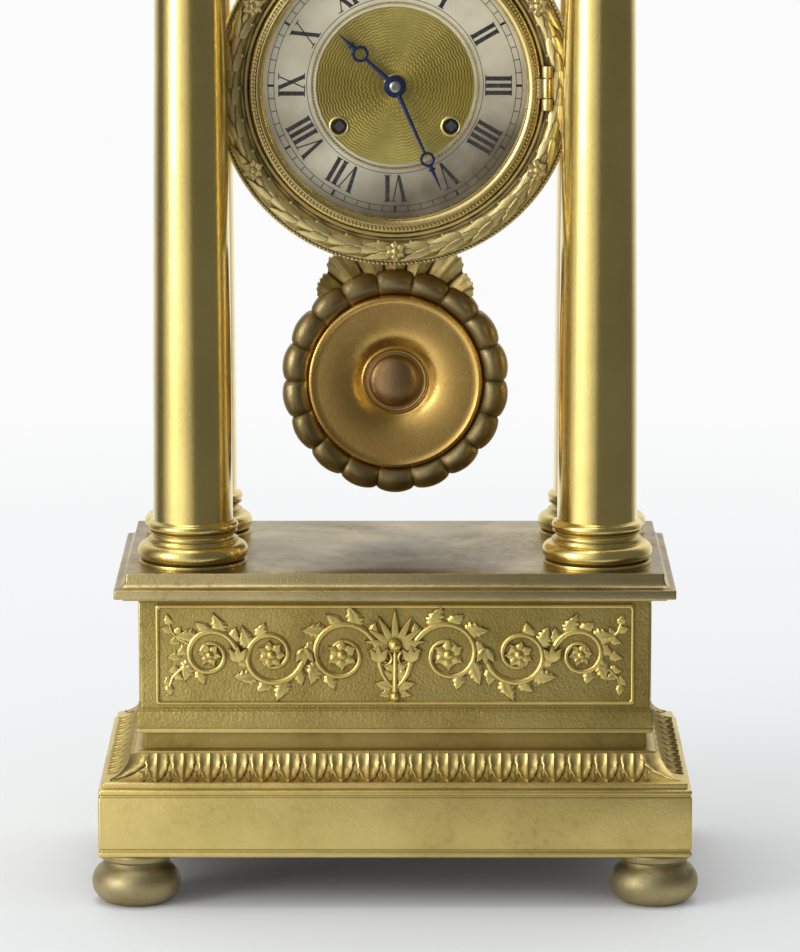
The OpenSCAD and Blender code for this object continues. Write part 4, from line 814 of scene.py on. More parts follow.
# Capitals
# A turned bell with a ring at its neck, eight cast water leaves round it and four longer ones at its
# corners, which turn out under a square slab with a moulded edge.
capital_low, capital_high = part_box("capitals")
capital_h = (capital_high.z - capital_low.z) / MM
abacus = (capital_high.x - column_x) / MM
bell_h = capital_h * 0.7
outline = [(rod_r, 0), (neck_r - 0.4, 0)] + arc(neck_r, 1.6, 1.5, -80, 80, 8)
outline += [(neck_r, 3.5), (neck_r, bell_h * 0.36)] + arc(neck_r, bell_h * 0.43, 0.9, -80, 80, 6)
outline += quarter((neck_r + 0.4, bell_h * 0.5), (abacus - 3.2, bell_h)) + [(rod_r, bell_h)]
slab_edge = [(-4, bell_h), (-1.6, bell_h), (-1.6, bell_h + 1.2)]
slab_edge += quarter((-1.4, bell_h + 1.4), (0, bell_h + 3.6), 5) + [(0, capital_h), (-4, capital_h)]
slab_edge = profile(slab_edge, rounding=0.25, closed=False)


def bell_leaf(half_wide, reach):
    """Leaf that climbs the bell of a capital and turns out at its tip."""
    def at(u, v, lift):
        wide = half_wide * (1 - v ** 3) ** 0.5 * (0.8 + 0.2 * sin(pi * v)) + 0.1
        wide *= 1 - 0.12 * (1 - abs(sin(pi * 4 * v))) ** 2
        out = neck_r + 0.6 + (reach - neck_r - 0.6) * v ** 2.6 + lift
        up = bell_h * (0.40 + 0.56 * sin(pi / 2 * min(1, v * 1.12))) - 1.2 * max(0, v - 0.85) / 0.15
        turn = u * wide / max(out, 1)
        return out * sin(turn) * MM, -out * cos(turn) * MM, up * MM

    def rise(u, v):
        return 0.25 + 0.9 * (sin(pi * min(1, abs(u))) + exp(-((u / 0.2) ** 2))) * (1 - 0.5 * v)

    return relief(at, rise, -0.5, 8, 9)


capital = [turned(profile(outline, rounding=0.2), 72)]
capital.append(swept(slab_edge, abacus * MM, abacus * MM, round_r=0.6 * MM, capped=True))
for leaf, count, first in ((bell_leaf(5.2, abacus - 2.2), 8, 0), (bell_leaf(4.2, abacus - 0.2), 4, 45)):
    capital += [moved(leaf, spin(first + 360 * i / count, "Z")) for i in range(count)]
capitals = [moved(part, shift(x, y, capital_low.z)) for x, y, _ in column_spots for part in capital]
piece("capital_castings", capitals, ornament_gilt, "case", "gilt_satin", "capitals")


# Architrave
# The beam on the capitals: a hollow casting with two plain bands and a small moulding. The dial hangs
# from its floor.
arch_w, arch_d, arch_z, arch_h = half_sizes("architrave")
arch_out = 3.5
arch_w, arch_d = arch_w - arch_out * MM, arch_d - arch_out * MM
outline = [(-wall, 0), (0, 0), (0, arch_h * 0.3), (1, arch_h * 0.32), (1, arch_h * 0.62), (2, arch_h * 0.65)]
outline += quarter((2.1, arch_h * 0.70), (arch_out, arch_h * 0.88), 5)
outline += [(arch_out, arch_h), (-wall, arch_h), (-wall, wall)]
floor = profile([(-wall + 0.1, 0.2), (-wall + 0.1, wall - 0.2)], arch_z, rounding=0)
architrave = [swept(profile(outline, arch_z, 0.25), arch_w, arch_d),
              swept(floor, arch_w, arch_d, capped=True)]
satin_gilt = gilt("satin_gilt", (0.70, 0.545, 0.185), (0.17, 0.115, 0.035), 0.36)
piece("architrave_casting", architrave, satin_gilt, "case", "gilt_satin", "architrave")


# Frieze
# The plain middle band of the top: a hollow casting on the architrave, matt like the die.
frieze_w, frieze_d, frieze_z, frieze_h = half_sizes("frieze")
outline = profile([(-wall, 0), (0, 0), (0, frieze_h), (-wall, frieze_h)], frieze_z)
piece("frieze_casting", [swept(outline, frieze_w, frieze_d)], matt_gilt, "case", "gilt_matt", "frieze")


# Ornament of the frieze
# A laurel wreath in the middle, two leafy sprays beside it and a rosette over each front column, cast
# thin, chased and burnished.
wreath_r = 9.2
spray_start, spray_pitch = 17, 2.2
laurel = chased_leaf(6.2, 1.7, 1.0, lobes=1, across=4, along=6)
wreath = []
for side in (-1, 1):
    for i, (x, z) in enumerate(arc(0, 0, wreath_r, -78, 72, 10)):
        for lean in (-26, 26):
            wreath.append(set_down(laurel, side * x, z, side * (78 - 15 * i + lean), 0.72))
    half_ring = arc(0, 0, wreath_r, -88, 80, 21)
    wreath.append(stem([(side * x, z) for x, z in half_ring], 0.6, 0.35, 0.9))
    for tail, turn in ((0.0, 118), (0.6, 152)):
        wreath.append(set_down(laurel, side * tail, -wreath_r, side * turn, 0.92))
    spray = [(side * (spray_start + spray_pitch * i), sin(i * 0.7)) for i in range(20)]
    wreath.append(stem(spray, 0.8, 0.4, 1.0))
    for i, (x, z) in enumerate(spray[1::2]):
        for lean in (50, 130):
            wreath.append(set_down(laurel, x, z, side * lean, 1.2 - 0.05 * i))
    wreath.append(set_down(laurel, *spray[-1], side * 90, 0.7))
    wreath += [set_down(part, side * column_x / MM, 0, 0) for part in rosette(9.2, 8, 1.7)]
wreath = in_place(wreath, shift(0, -frieze_d, frieze_z + frieze_h / 2 * MM))
piece("frieze_ornament", wreath, ornament_gilt, "case", "gilt_burnished", "frieze_mount")


# Cornice
# The widest moulding of the top: a row of small leaves in its hollow, under a flat band and a round edge.
cornice_w, cornice_d, cornice_z, cornice_h = half_sizes("cornice")
cornice_out = (cornice_w - frieze_w) / MM
hollow_in, hollow_out, hollow_top = 2.2, cornice_out * 0.62, cornice_h * 0.49
outline = [(-wall, 0), (1.5, 0), (1.5, 2.2)] + quarter((hollow_in, 2.4), (hollow_out, hollow_top), cove=True)
outline += [(cornice_out * 0.76, cornice_h * 0.5), (cornice_out * 0.76, cornice_h * 0.68)]
outline += quarter((cornice_out * 0.8, cornice_h * 0.7), (cornice_out, cornice_h * 0.9), 6)
outline += [(cornice_out, cornice_h), (-wall, cornice_h)]


def cornice_leaf(half_wide):
    """Small leaf that stands in the hollow of the cornice."""
    def at(u, v, lift):
        t = radians(90 * v)
        out = hollow_in + (hollow_out - hollow_in) * sin(t) + lift * (0.35 + 0.65 * v)
        up = 2.6 + (hollow_top - 2.8) * (1 - cos(t)) - lift * (1 - v) * 0.4
        wide = half_wide * (0.55 + 0.45 * sin(pi * min(1, 0.25 + v * 0.75))) + 0.05
        return u * wide * MM, -out * MM, cornice_z + up * MM

    def rise(u, v):
        return 0.2 + 0.9 * sin(pi * min(1, abs(u))) + 0.6 * exp(-((u / 0.25) ** 2))

    return relief(at, rise, -0.4, 6, 5)


cornice = [swept(profile(outline, cornice_z, 0.25), frieze_w, frieze_d)]
cornice += row_round(cornice_leaf(3.1), pale_gilt, frieze_w, frieze_d, 7 * MM, 3 * MM)
piece("cornice_casting", cornice, pale_gilt, "case", "gilt_satin", "cornice")


# Top plate
# A stepped, solid plate of gilt bronze that lies on the cornice and closes the case.
top_w, top_d, top_z, top_h = half_sizes("top_plate")
step_in = 5
outline = [(0, 0), (0, top_h * 0.38), (-0.8, top_h * 0.45), (-step_in, top_h * 0.5)]
outline += quarter((-step_in - 0.4, top_h * 0.55), (-step_in - 3, top_h * 0.93), 5) + [(-step_in - 4, top_h)]
top_plate = swept(profile(outline, top_z, closed=False), top_w, top_d, capped=True)
piece("top_plate_casting", [top_plate], satin_gilt, "case", "gilt_satin", "top_plate")


# Drum, hanger and screws
# A rolled brass tube that holds the movement, soldered along its top to a saddle under the architrave,
# with a spun cover behind. All is brushed and a little brown, with steel screws and pins and iron rods.
def brushed_brass(name, brass, brown, rough):
    """Plain brass with the marks of the lathe, and light brown staining."""
    material, tree, shader, where = new_material(name)
    stained = remap(tree, noise(tree, where, 45, 5), 0.44, 0.78, 0.0, 0.5)
    roughness = calc(tree, "MULTIPLY_ADD", stained, 0.25, rough)
    plug(tree, shader, {"Base Color": mix_colours(tree, stained, brass, brown), "Roughness": roughness,
                        "Metallic": 1.0})
    lines = node(tree, "ShaderNodeMapping", {"Vector": where, "Scale": (60, 2600, 60)}).outputs[0]
    emboss(tree, shader, noise(tree, lines, 1.0, 2), 0.12, 0.0002)
    return material


def steel(name, light, dark, rough, scale=300):
    """Filed and polished steel with fine marks and a few dark specks."""
    material, tree, shader, where = new_material(name)
    marks = noise(tree, where, scale, 5)
    specks = remap(tree, marks, 0.50, 0.75)
    roughness = calc(tree, "MULTIPLY_ADD", specks, 0.25, rough)
    plug(tree, shader, {"Base Color": mix_colours(tree, specks, light, dark), "Roughness": roughness,
                        "Metallic": 1.0})
    emboss(tree, shader, marks, 0.15, 0.0001)
    return material


drum_brass = brushed_brass("drum_brass", (0.62, 0.45, 0.16), (0.22, 0.14, 0.05), 0.34)
bright_steel = steel("bright_steel", (0.62, 0.62, 0.61), (0.30, 0.27, 0.24), 0.28)
oiled_steel = steel("oiled_steel", (0.15, 0.145, 0.14), (0.06, 0.05, 0.045), 0.4)
blue_screws = steel("blue_screws", (0.045, 0.07, 0.22), (0.03, 0.03, 0.06), 0.25)
black_iron = steel("black_iron", (0.10, 0.095, 0.09), (0.16, 0.09, 0.05), 0.55, 160)
finish_nodes(drum_brass, "drum", "drum_hanger", "rear_cover")
finish_nodes(bright_steel, "hinge_pins")
finish_nodes(blue_screws, "case_screws")
finish_nodes(black_iron, "tie_rods")


# Movement
# Brass plates, wheels and barrels, a bell of paler metal and springs of dark steel. All keep the shapes
# of the frame.
train_brass = brushed_brass("train_brass", (0.72, 0.54, 0.21), (0.34, 0.22, 0.08), 0.26)
bell_metal = brushed_brass("bell_metal", (0.66, 0.52, 0.27), (0.30, 0.21, 0.09), 0.22)
spring_steel = steel("spring_steel", (0.30, 0.32, 0.36), (0.14, 0.13, 0.13), 0.32)
finish_nodes(train_brass, "front_plate", "back_plate", "plate_pillars", "back_cock", "pendulum_rod",
             "going_barrel", "second_wheel", "centre_wheel", "third_wheel", "escape_wheel",
             "strike_barrel", "strike_second_wheel", "pin_wheel", "locking_wheel", "warning_wheel", "fly",
             "cannon_pinion", "minute_wheel", "hour_wheel")
finish_nodes(bell_metal, "bell")
finish_nodes(spring_steel, "going_mainspring", "strike_mainspring", "suspension_spring")
finish_nodes(bright_steel, "pallets", "hammer", "bell_stand")
finish_nodes(oiled_steel, "going_arbor", "strike_arbor")
finish_nodes(blue_screws, "going_click", "strike_click")


# Fixed bezel
# A cast and chased ring on the front of the drum: a garland of paired leaves with flowers between plain
# rims, a line of fine beads round its outside, and the outer two knuckles of the hinge.
ring_tree, sizes, number = node_tree("ring_of_units", Radius="Float", Phase="Float")
turn = calc(ring_tree, "MULTIPLY", calc(ring_tree, "DIVIDE", number, sizes["Count"]), 2 * pi)
turn = calc(ring_tree, "ADD", turn, sizes["Phase"])
across = calc(ring_tree, "MULTIPLY", calc(ring_tree, "SINE", turn), sizes["Radius"])
up = calc(ring_tree, "MULTIPLY", calc(ring_tree, "COSINE", turn), sizes["Radius"])
spot = node(ring_tree, "ShaderNodeCombineXYZ", {0: across, 2: up}).outputs[0]
plant(ring_tree, sizes, spot, node(ring_tree, "ShaderNodeCombineXYZ", {1: turn}).outputs[0])


def ring_of(unit, count, radius, finish, phase=0.0):
    """A unit repeated round the axis that runs back from the dial. The unit grows outwards along Z."""
    return grow(ring_tree, unit, finish, Count=count, Radius=radius, Phase=phase)


def knuckle(half, bore, level=0.0):
    """Part of the hinge's barrel, half as long as given, at a level above the dial's middle."""
    ends = profile([(bore, -half), (knuckle_r, -half), (knuckle_r, half), (bore, half)])
    return turned(ends, 32, (hinge_x * MM, hinge_y * MM, dial_middle.z + level * MM))


def hinge_block(half, half_w, half_d, x, y, level=0.0):
    """Small block that joins a knuckle to its ring."""
    upright = profile([(0, -half), (0, half)], rounding=0)
    block = swept(upright, half_w * MM, half_d * MM, 0.3 * MM, capped=True)
    return moved(block, shift(x * MM, y * MM, dial_middle.z + level * MM))


def lying_ring(outline, rounding, steps, x=0, z=0):
    """Ring turned round an axis that runs back from the dial."""
    return moved(turned(soften(outline, rounding, 2, closed=True), steps, lying=True), shift(x, 0, z))


centre_low, centre_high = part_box("dial_centre")
dial_middle = Vector((0, 0, (centre_low.z + centre_high.z) / 2))
dial_at = shift(*dial_middle)
bezel_low, bezel_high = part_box("outer_bezel")
bezel_front, bezel_back = bezel_low.y / MM + 2.8, bezel_high.y / MM
outer_r = (bezel_high.z - dial_middle.z) / MM
inner_r = 59.0
seat_r, seat_y = 52.6, -12.0
garland_r = (outer_r + inner_r) / 2 + 0.1
garland_y = bezel_front + 2.6
hinge_x, hinge_y = 61.3, -22.5
knuckle_r, knuckle_half, knuckle_gap = 2.3, 2.4, 4.2
outline = [(seat_r, bezel_back), (seat_r, seat_y), (inner_r, seat_y), (inner_r, bezel_front + 3.2),
           (inner_r + 0.5, bezel_front + 1.7), (inner_r + 1.6, bezel_front + 1.4), (inner_r + 2.3, garland_y)]
outline += arc(garland_r, garland_y + 1.2, 4.1, -163, -17, 12)
outline += [(outer_r - 2.9, garland_y + 0.3), (outer_r - 2.4, garland_y + 0.2),
            (outer_r - 0.6, garland_y + 1.6), (outer_r - 0.2, garland_y + 3),
            (outer_r - 0.2, bezel_back - 1.5), (outer_r - 1.0, bezel_back)]

leaf_pairs = 30
leaf_size = 2 * pi * garland_r / leaf_pairs
garland = []
for side in (-1, 1):
    leaf = chased_leaf(leaf_size * 0.98, 2.1, 1.5, lobes=3, bend=side * 0.14, across=6, along=8)
    verts, faces = set_down(leaf, 0, side * 0.9, 90 - side * 17)
    leaf = ([(x, y - 2.7 + 0.06 * z ** 2, z) for x, y, z in verts], faces)
    garland.append(ring_of(leaf, leaf_pairs, garland_r, bright_gilt))
berry = turned([(0, -3.0), (0.6, -2.85), (0.95, -2.4), (1.0, -1.7), (0, -1.6)], 8, lying=True)
for radius in (garland_r + 3.3, garland_r - 3.3):
    garland.append(ring_of(berry, leaf_pairs, radius, bright_gilt, phase=pi / leaf_pairs))
for i in range(6):
    garland += [moved(part, spin(60 * i) @ shift(0, -3.6, garland_r)) for part in rosette(4.6, 6, 1.2)]
bead = turned([(0, -0.05), (0.5, 0.15), (0.72, 0.7), (0.5, 1.1), (0, 1.1)], 6, lying=True)
garland.append(ring_of(bead, 260, outer_r - 1.25, bright_gilt))
bezel = [lying_ring(outline, 0.3, 144)] + [moved(part, shift(0, garland_y)) for part in garland]
bezel = in_place(bezel, dial_at)
for side in (-1, 1):
    level = side * (knuckle_gap + knuckle_half)
    bezel += [knuckle(knuckle_half, 1.0, level),
              hinge_block(knuckle_half, 1.6, 3.0, hinge_x + 0.4, hinge_y + 3.0, level)]
bezel_gilt = gilt("bezel_gilt", (0.78, 0.64, 0.29), (0.15, 0.105, 0.04), 0.38, spots=0.28, soil=0.85)
piece("bezel_casting", bezel, bezel_gilt, "case", "gilt_burnished", "outer_bezel")


# Glazed bezel
# The hinged ring that holds the glass: burnished, with a bright slope towards the glass, a beaded edge
# and the middle knuckle of the hinge, which a tongue joins to it.
door_low, door_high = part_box("door_bezel")
glass_low, glass_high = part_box("door_glass")
door_front, door_back = door_low.y / MM + 0.8, door_high.y / MM
door_r, sight_r = 58.7, 53.2
glass_r = (glass_high.x - glass_low.x) / 2 / MM
glass_y = glass_low.y / MM
knuckle_play = 0.3
outline = [(sight_r + 1.2, door_back), (sight_r + 0.2, door_back - 0.8), (sight_r + 0.2, glass_y + 1.5),
           (glass_r, glass_y + 1.5), (glass_r, glass_y), (sight_r, glass_y - 0.1), (sight_r, glass_y - 0.9)]
outline += quarter((sight_r + 0.3, glass_y - 1.1), (door_r - 2.9, door_front), 6)
outline += [(door_r - 2.3, door_front + 0.7), (door_r - 0.5, door_front + 1.0), (door_r, door_front + 1.8),
            (door_r, door_back)]
bead = [(0, door_front - 0.05), (0.45, door_front + 0.1), (0.7, door_front + 0.75), (0.45, door_front + 1.15),
        (0, door_front + 1.15)]
door = [lying_ring(outline, 0.2, 144), ring_of(turned(bead, 6, lying=True), 224, door_r - 1.35, bright_gilt)]
door = in_place(door, dial_at)
door += [knuckle(knuckle_gap - knuckle_play, 1.05),
         hinge_block(knuckle_gap - knuckle_play, 1.5, 1.4, hinge_x - 2.6, hinge_y)]
door_gilt = gilt("door_gilt", (0.76, 0.61, 0.255), (0.20, 0.14, 0.05), 0.26, spots=0.15, grain=0.10)
piece("glazed_bezel_ring", door, door_gilt, "door", "gilt_burnished", "door_bezel")


# Glass
# A flat pane, a little uneven, held in the back of the glazed bezel. It mirrors more when seen edge on,
# and as much from behind as from the front.
pane, tree, shader, where = new_material("dial_glass")
clear = node(tree, "ShaderNodeBsdfTransparent", {"Color": (0.97, 0.985, 0.98)})
gloss = node(tree, "ShaderNodeBsdfGlossy", {"Roughness": 0.03})
emboss(tree, gloss, noise(tree, where, 14, 1), 0.02, 0.0004)
edge_on = node(tree, "ShaderNodeLayerWeight", {"Blend": 0.5}).outputs["Facing"]
edge_on = calc(tree, "MULTIPLY_ADD", calc(tree, "POWER", edge_on, 5.0), 0.96, 0.035)
both = node(tree, "ShaderNodeMixShader", {0: edge_on, 1: clear.outputs[0], 2: gloss.outputs[0]})
tree.nodes.remove(shader)
plug(tree, tree.nodes["Material Output"], {"Surface": both.outputs[0]})
finish_nodes(pane, "door_glass")


# Chapter ring
# A silvered brass ring with a fine circular grain, yellowed in patches and with painted shade that darkens
# its lower right, engraved and filled with black: a minute track and twelve plain Roman numerals.
def on_dial(tree, where):
    """Place on the dial, from its middle, and the distance from it."""
    local = node(tree, "ShaderNodeMapping", {"Vector": where, "Location": tuple(-dial_middle)}).outputs[0]
    return local, vector_calc(tree, "LENGTH", local)


silver, tree, shader, where = new_material("silvered_ring")
local, radius = on_dial(tree, where)
clouds = noise(tree, where, 38, 6)
rings = node(tree, "ShaderNodeTexNoise", {"W": calc(tree, "MULTIPLY", radius, 5200.0), "Scale": 1.0},
             noise_dimensions="1D").outputs[0]
aged = mix_colours(tree, remap(tree, clouds, 0.42, 0.72, 0.0, 0.85), (0.84, 0.735, 0.56), (0.52, 0.42, 0.29))
# Painted shade: the ring is made darker, in patches, towards its lower right.
painted_lower_shade = remap(tree, vector_calc(tree, "DOT_PRODUCT", local, (0.5, 0, -0.85)), 0.010, 0.042)
painted_lower_shade = calc(tree, "MULTIPLY", painted_lower_shade, remap(tree, clouds, 0.25, 0.50, 0.65, 1.0))
plug(tree, shader, {"Base Color": mix_colours(tree, painted_lower_shade, aged, (0.17, 0.125, 0.075)),
                    "Roughness": calc(tree, "MULTIPLY_ADD", rings, 0.12, 0.48), "Metallic": 0.2})
emboss(tree, shader, rings, 0.12, 0.0001)
finish_nodes(silver, "chapter_ring")

stroke_black, tree, shader, where = new_material("engraved_black")
wax = remap(tree, noise(tree, where, 900, 3), 0.4, 0.75)
plug(tree, shader, {"Base Color": mix_colours(tree, wax, (0.012, 0.011, 0.012), (0.07, 0.06, 0.055)),
                    "Roughness": 0.45})

dial_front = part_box("chapter_ring")[0].y / MM
ring_in = (centre_high.z - dial_middle.z) / MM
fill_front, fill_back = dial_front - 0.05, dial_front + 0.1
track_in, track_out, track_mid = 49.0, 51.4, 50.0
line_half = 0.13
numeral_foot, numeral_head = 36.4, 47.2
thick, thin, serif = 1.75, 0.55, 0.4
letter_wide = {"I": 2.9, "V": 6.2, "X": 6.4}
hours = ["XII", "I", "II", "III", "IIII", "V", "VI", "VII", "VIII", "IX", "X", "XI"]


def stroke(ax, az, bx, bz, wide_a, wide_b=None):
    """Flat engraved stroke from one point to another, cut level at both ends."""
    wide_b = wide_b or wide_a
    flat = [(ax - wide_a / 2, az), (ax + wide_a / 2, az), (bx + wide_b / 2, bz), (bx - wide_b / 2, bz)]
    return [(x, y, z) for y in (fill_front, fill_back) for x, z in flat], tube_faces(2, 4, closed=False)


def letter(kind, x):
    """Strokes of one letter with serifs, centred at x."""
    low, high, side = numeral_foot, numeral_head, letter_wide[kind] / 2 - 0.8
    top, sides = high - serif, (x - side, x + side)
    if kind == "I":
        ends = [stroke(x, z, x, z + serif, thick + 0.9) for z in (low, top)]
        return [stroke(x, low, x, high, thick)] + ends
    if kind == "V":
        made = [stroke(x, low, x - side, high, thick * 0.7, thick), stroke(x, low, x + side, high, thin)]
        ends = [(end, top) for end in sides]
    else:
        made = [stroke(x + side, low, x - side, high, thick), stroke(x - side, low, x + side, high, thin)]
        ends = [(end, z) for end in sides for z in (top, low)]
    return made + [stroke(end, z, end, z + serif, thick + 0.8) for end, z in ends]


marks = []
for hour, text in enumerate(hours):
    x = -sum(letter_wide[kind] for kind in text) / 2
    for kind in text:
        marks += [moved(part, spin(30 * hour)) for part in letter(kind, x + letter_wide[kind] / 2)]
        x += letter_wide[kind]
for count, wide in ((60, 0.34), (12, 1.0)):
    mark = stroke(0, track_in - track_mid, 0, track_out - track_mid, wide)
    marks.append(ring_of(mark, count, track_mid, stroke_black))
for radius in (ring_in + 1.2, track_in, track_out):
    line = [(radius - line_half, fill_front), (radius + line_half, fill_front),
            (radius + line_half, fill_back), (radius - line_half, fill_back)]
    marks.append(turned(line, 144, lying=True))
piece("dial_numerals", in_place(marks, dial_at), stroke_black, "case", "black_iron")


# Dial centre
# A gilt disc with an engine-turned pattern of rings whose waves cross each other, painted paler above and
# below the middle as a highlight, with a rope-like rim and turned collets round the two winding holes and the
# middle.
ring_pitch, wave_height, waves_round = 0.0011, 0.00022, 36.0
turned_gilt, tree, shader, where = new_material("engine_turned_gilt")
local, radius = on_dial(tree, where)
parts = node(tree, "ShaderNodeSeparateXYZ", {0: local}).outputs
around = calc(tree, "ARCTAN2", parts["X"], parts["Z"])
waves = calc(tree, "SINE", calc(tree, "MULTIPLY", around, waves_round))
wavy = calc(tree, "MULTIPLY_ADD", waves, wave_height, radius)
height = calc(tree, "SINE", calc(tree, "MULTIPLY", wavy, 2 * pi / ring_pitch))
# Painted highlight: the gold is made paler above and below the middle, where turned gilt would catch the
# light.
upright = calc(tree, "POWER", calc(tree, "ABSOLUTE", calc(tree, "COSINE", around)), 2.0)
rubbed_and_painted_highlight = calc(tree, "MULTIPLY", upright, remap(tree, radius, 0.006, 0.026, 0.0, 0.65))
worn_and_painted_highlight = mix_colours(tree, rubbed_and_painted_highlight, (0.36, 0.25, 0.03), (0.66, 0.52, 0.14))
old = remap(tree, noise(tree, where, 60, 5), 0.42, 0.72, 0.0, 0.55)
along = vector_calc(tree, "CROSS_PRODUCT", local, (0, 1, 0))
plug(tree, shader, {"Base Color": mix_colours(tree, old, worn_and_painted_highlight, (0.22, 0.145, 0.018)), "Roughness": 0.42,
                    "Metallic": 0.7, "Anisotropic": 0.8, "Tangent": along})
emboss(tree, shader, height, 0.5, 0.00012)
finish_nodes(turned_gilt, "dial_centre")

winding_x, winding_z = 22.6, -16.5
collets = []
holes = [(-winding_x, winding_z, 3.2, 1.1), (winding_x, winding_z, 3.2, 1.1), (0, 0, 3.7, 1.0)]
for x, z, hole, wide in holes:
    ring = [(hole, dial_front + 0.4), (hole, dial_front - 0.35), (hole + 0.35, dial_front - 0.5),
            (hole + wide, dial_front - 0.2), (hole + wide, dial_front + 0.4)]
    collets.append(lying_ring(ring, 0.1, 40, x, z))
twist = set_down(chased_leaf(1.6, 0.42, 0.5, lobes=1, across=4, along=4), -0.5, -0.5, 50, lift=-dial_front)
collets.append(ring_of(twist, 150, ring_in - 0.9, bright_gilt))
piece("dial_collets", in_place(collets, dial_at), bright_gilt, "case", "gilt_turned")


# Hands
# Blued steel hands of the open-ring kind, filed to a ridge along the middle, and the small nut that
# holds them on their arbor. They show 10:26.
def ridged_bar(first, last, wide_first, wide_last, front, back):
    """Bar along Z with a ridge along its front, between two heights."""
    verts = []
    for z, wide in ((first, wide_first), (last, wide_last)):
        side = (front + back) / 2
        verts += [(-wide, back, z), (-wide, side, z), (0, front, z), (wide, side, z), (wide, back, z)]
    return verts, tube_faces(2, 5, closed=False)


def flat_ring(middle_z, outside, inside, front, back):
    """Rounded ring in the plane of a hand."""
    outline = [(inside, back), (inside, front + 0.12), (inside + 0.14, front), (outside - 0.14, front),
               (outside, front + 0.12), (outside, back)]
    return lying_ring(outline, 0.08, 40, 0, middle_z)


def hand(name, body, length, eye_at, eye_r, eye_in, wide, boss_r, hole_r, turn):
    """One hand, with an open eye on the way and a boss, turned clockwise in degrees."""
    low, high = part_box(name)
    front, back = low.y / MM, high.y / MM
    parts = [flat_ring(0, boss_r, hole_r, front, back), flat_ring(eye_at, eye_r, eye_in, front, back),
             ridged_bar(boss_r - 0.5, eye_at - eye_in - 0.3, wide, wide * 0.62, front, back),
             ridged_bar(eye_at + eye_in + 0.3, length, wide * 1.15, 0.12, front, back),
             ridged_bar(eye_at + eye_r + 1.2, eye_at + eye_r + 2.0, wide * 1.6, wide * 1.6, front, back)]
    piece(name + "_steel", in_place(parts, dial_at @ spin(turn)), blued, body, "blued_steel", name)


shown_hour, shown_minute = 10, 26
blued = steel("blued_steel", (0.030, 0.050, 0.17), (0.02, 0.02, 0.035), 0.22, 500)
hand("minute_hand", "centre_arbor", length=46, eye_at=32.2, eye_r=3.0, eye_in=2.0, wide=0.9,
     boss_r=3.6, hole_r=1.5, turn=6 * shown_minute)
hand("hour_hand", "hour_pipe", length=31, eye_at=19.2, eye_r=3.4, eye_in=2.2, wide=1.0,
     boss_r=4.6, hole_r=2.5, turn=30 * (shown_hour + shown_minute / 60))
finish_nodes(bright_steel, "hand_nut")


# Pendulum bob
# A cast ring of eighteen lobes, dark from handling, round a hollow dish of polished gilt bronze with a
# raised boss in the middle and a flat lid behind. The rod goes up from it.
def lobed_rim(rows=22):
    """Closed ring with a lobed front and edge."""
    verts = []
    columns = 14 * bob_lobes
    for i in range(rows + 3):
        for k in range(columns):
            a = 2 * pi * k / columns
            lobe = abs(cos(bob_lobes * a / 2)) ** 0.55
            edge = bob_r - 0.1 - lobe_depth * (1 - lobe)
            r, y = rim_in + (edge - rim_in) * i / rows, -1.0
            if 0 < i < rows:
                rounding = sin(pi * (0.04 + 0.93 * i / rows)) ** 0.6
                y = -2.0 - lobe_rise * rounding * (0.62 + 0.38 * lobe)
            elif i > rows:
                r, y = edge - 0.4 if i == rows + 1 else rim_in, rim_back
            verts.append((r * sin(a), y, r * cos(a)))
    return verts, tube_faces(rows + 3, columns)


def bob_part(name, part, finish, *nodes):
    """A part made round the bob's middle, as a piece that swings."""
    piece(name, in_place([part], bob_at), finish, "pendulum", "bob_gilt", *nodes)


bob_low, bob_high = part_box("bob")
rod_low, rod_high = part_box("pendulum_rod")
bob_r = (bob_high.x - bob_low.x) / 2 / MM
bob_at = shift(0, (rod_low.y + rod_high.y) / 2, bob_low.z + bob_r * MM)
bob_lobes, lobe_depth, lobe_rise = 18, 2.1, 5.0
rim_in, rim_back = 36.0, 3.6
rim_bronze = gilt("rim_bronze", (0.28, 0.215, 0.095), (0.075, 0.055, 0.022), 0.40, spots=0.5, soil=0.95)
bob_part("bob_lobed_rim", lobed_rim(), rim_bronze, "bob")

dish_gilt = gilt("dish_gilt", (0.72, 0.46, 0.13), (0.26, 0.15, 0.04), 0.25, spots=0.45, grain=0.12)
dish = [(0, -2.0), (12.6, -2.0), (13.4, -2.9), (14.2, -2.3)]
dish += [(14.4 + 1.24 * i, -2.3 - 3.9 * (1 - exp(-i / 3.6))) for i in range(1, 16)]
dish += [(33.8, -6.3), (34.8, -6.8), (35.8, -6.4), (36.4, -5.0), (36.4, 3.4), (34.6, 3.4), (34.2, 2.6)]
dish.append((0, 2.6))
bob_part("bob_dish", turned(soften(dish, 0.25), 120, lying=True), dish_gilt)

boss_gilt = gilt("boss_gilt", (0.40, 0.25, 0.115), (0.24, 0.15, 0.08), 0.30, spots=0.4)
boss = dome(10.6, 3.1, 3.4, range(10, 91, 10)) + [(10.9, -2.6), (11.9, -2.6), (11.9, -1.5), (0, -1.5)]
bob_part("bob_boss", turned(soften(boss, 0.2), 72, lying=True), boss_gilt)


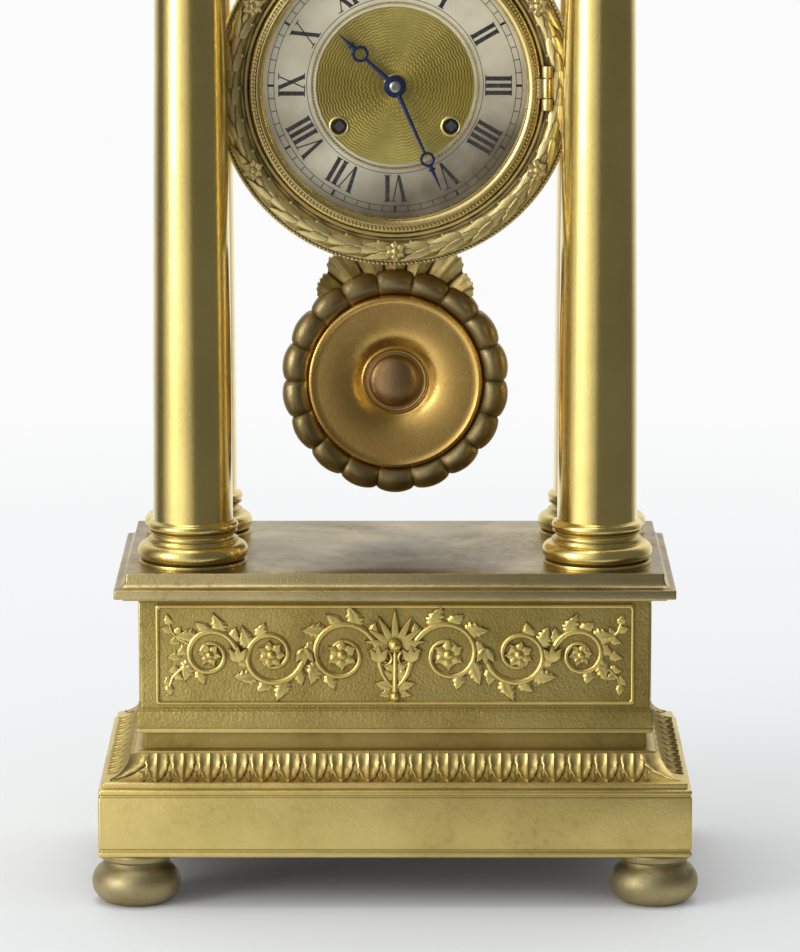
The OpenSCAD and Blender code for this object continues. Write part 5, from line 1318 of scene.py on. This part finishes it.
# Cap of the bob
# A fan of seven lobed leaves, cast in one, that opens upwards on top of the bob in front of the end of
# the rod.
def cap_side(up):
    """Half width of the cap at a height above the middle of the bob."""
    for (wide, low), (next_wide, high) in zip(cap_sides, cap_sides[1:]):
        if up <= high:
            return wide + (next_wide - wide) * max(0, up - low) / (high - low)
    return cap_sides[-1][0]


def fan_reach(turn):
    """Distance from the foot of the fan to the cap's outline in a direction."""
    reach = 20.0
    while fan_foot + reach * cos(turn) < cap_top - 0.4:
        if abs(reach * sin(turn)) > cap_side(fan_foot + reach * cos(turn)):
            break
        reach += 0.2
    return reach


def from_rib(u):
    """Place across the nearest leaf of the fan, from 0 on its rib to 1 on its edge."""
    return abs((u * fan_leaves / 2 + 0.5) % 1.0 - 0.5) * 2


def fan_at(u, v, lift):
    """Point of the fan, u from side to side and v from its foot to its tips."""
    beside = from_rib(u)
    notch = 0.08 * beside ** 3.5 + 0.025 * abs(sin(3 * pi * beside)) * (v > 0.5)
    reach = fan_reach(u * fan_open) * v * (1 - notch * v ** 4)
    return reach * sin(u * fan_open), -lift, fan_foot + reach * cos(u * fan_open)


def fan_rise(u, v):
    """Lift of the fan's front: hollow leaves with a rib and veins, whose tips curl."""
    beside = from_rib(u)
    cup = max(0, 1 - beside ** 2.4) ** 0.6
    rib = exp(-(beside / 0.16) ** 2)
    vein = 0.45 * sin(26 * v - 5.0 * beside) * beside * (1 - beside)
    return 1.2 + 1.9 * cup + 0.7 * rib + vein + 1.5 * max(0, v - 0.80) / 0.20


def fan_under(u, v):
    """Lift of the fan's back, thinner at the tips."""
    return -2.0 + 2.2 * max(0, v - 0.86) / 0.14


fan_foot, fan_leaves, fan_open = 21.0, 7, radians(68)
cap_top = (bob_high.z - bob_low.z) / MM - bob_r
cap_sides = [(bob_r * 0.72, bob_r * 0.50), (bob_r * 0.77, bob_r * 0.64), (33.6, bob_r * 0.73),
             (32.6, cap_top - 14), (31.2, cap_top - 11), (30.0, cap_top - 6), (27.6, cap_top - 2.4),
             (22.8, cap_top - 0.3)]
cap_gilt = gilt("cap_gilt", (0.47, 0.365, 0.14), (0.09, 0.065, 0.026), 0.40, spots=0.5, soil=0.95)
bob_part("bob_leaf_cap", relief(fan_at, fan_rise, fan_under, 140, 30), cap_gilt)
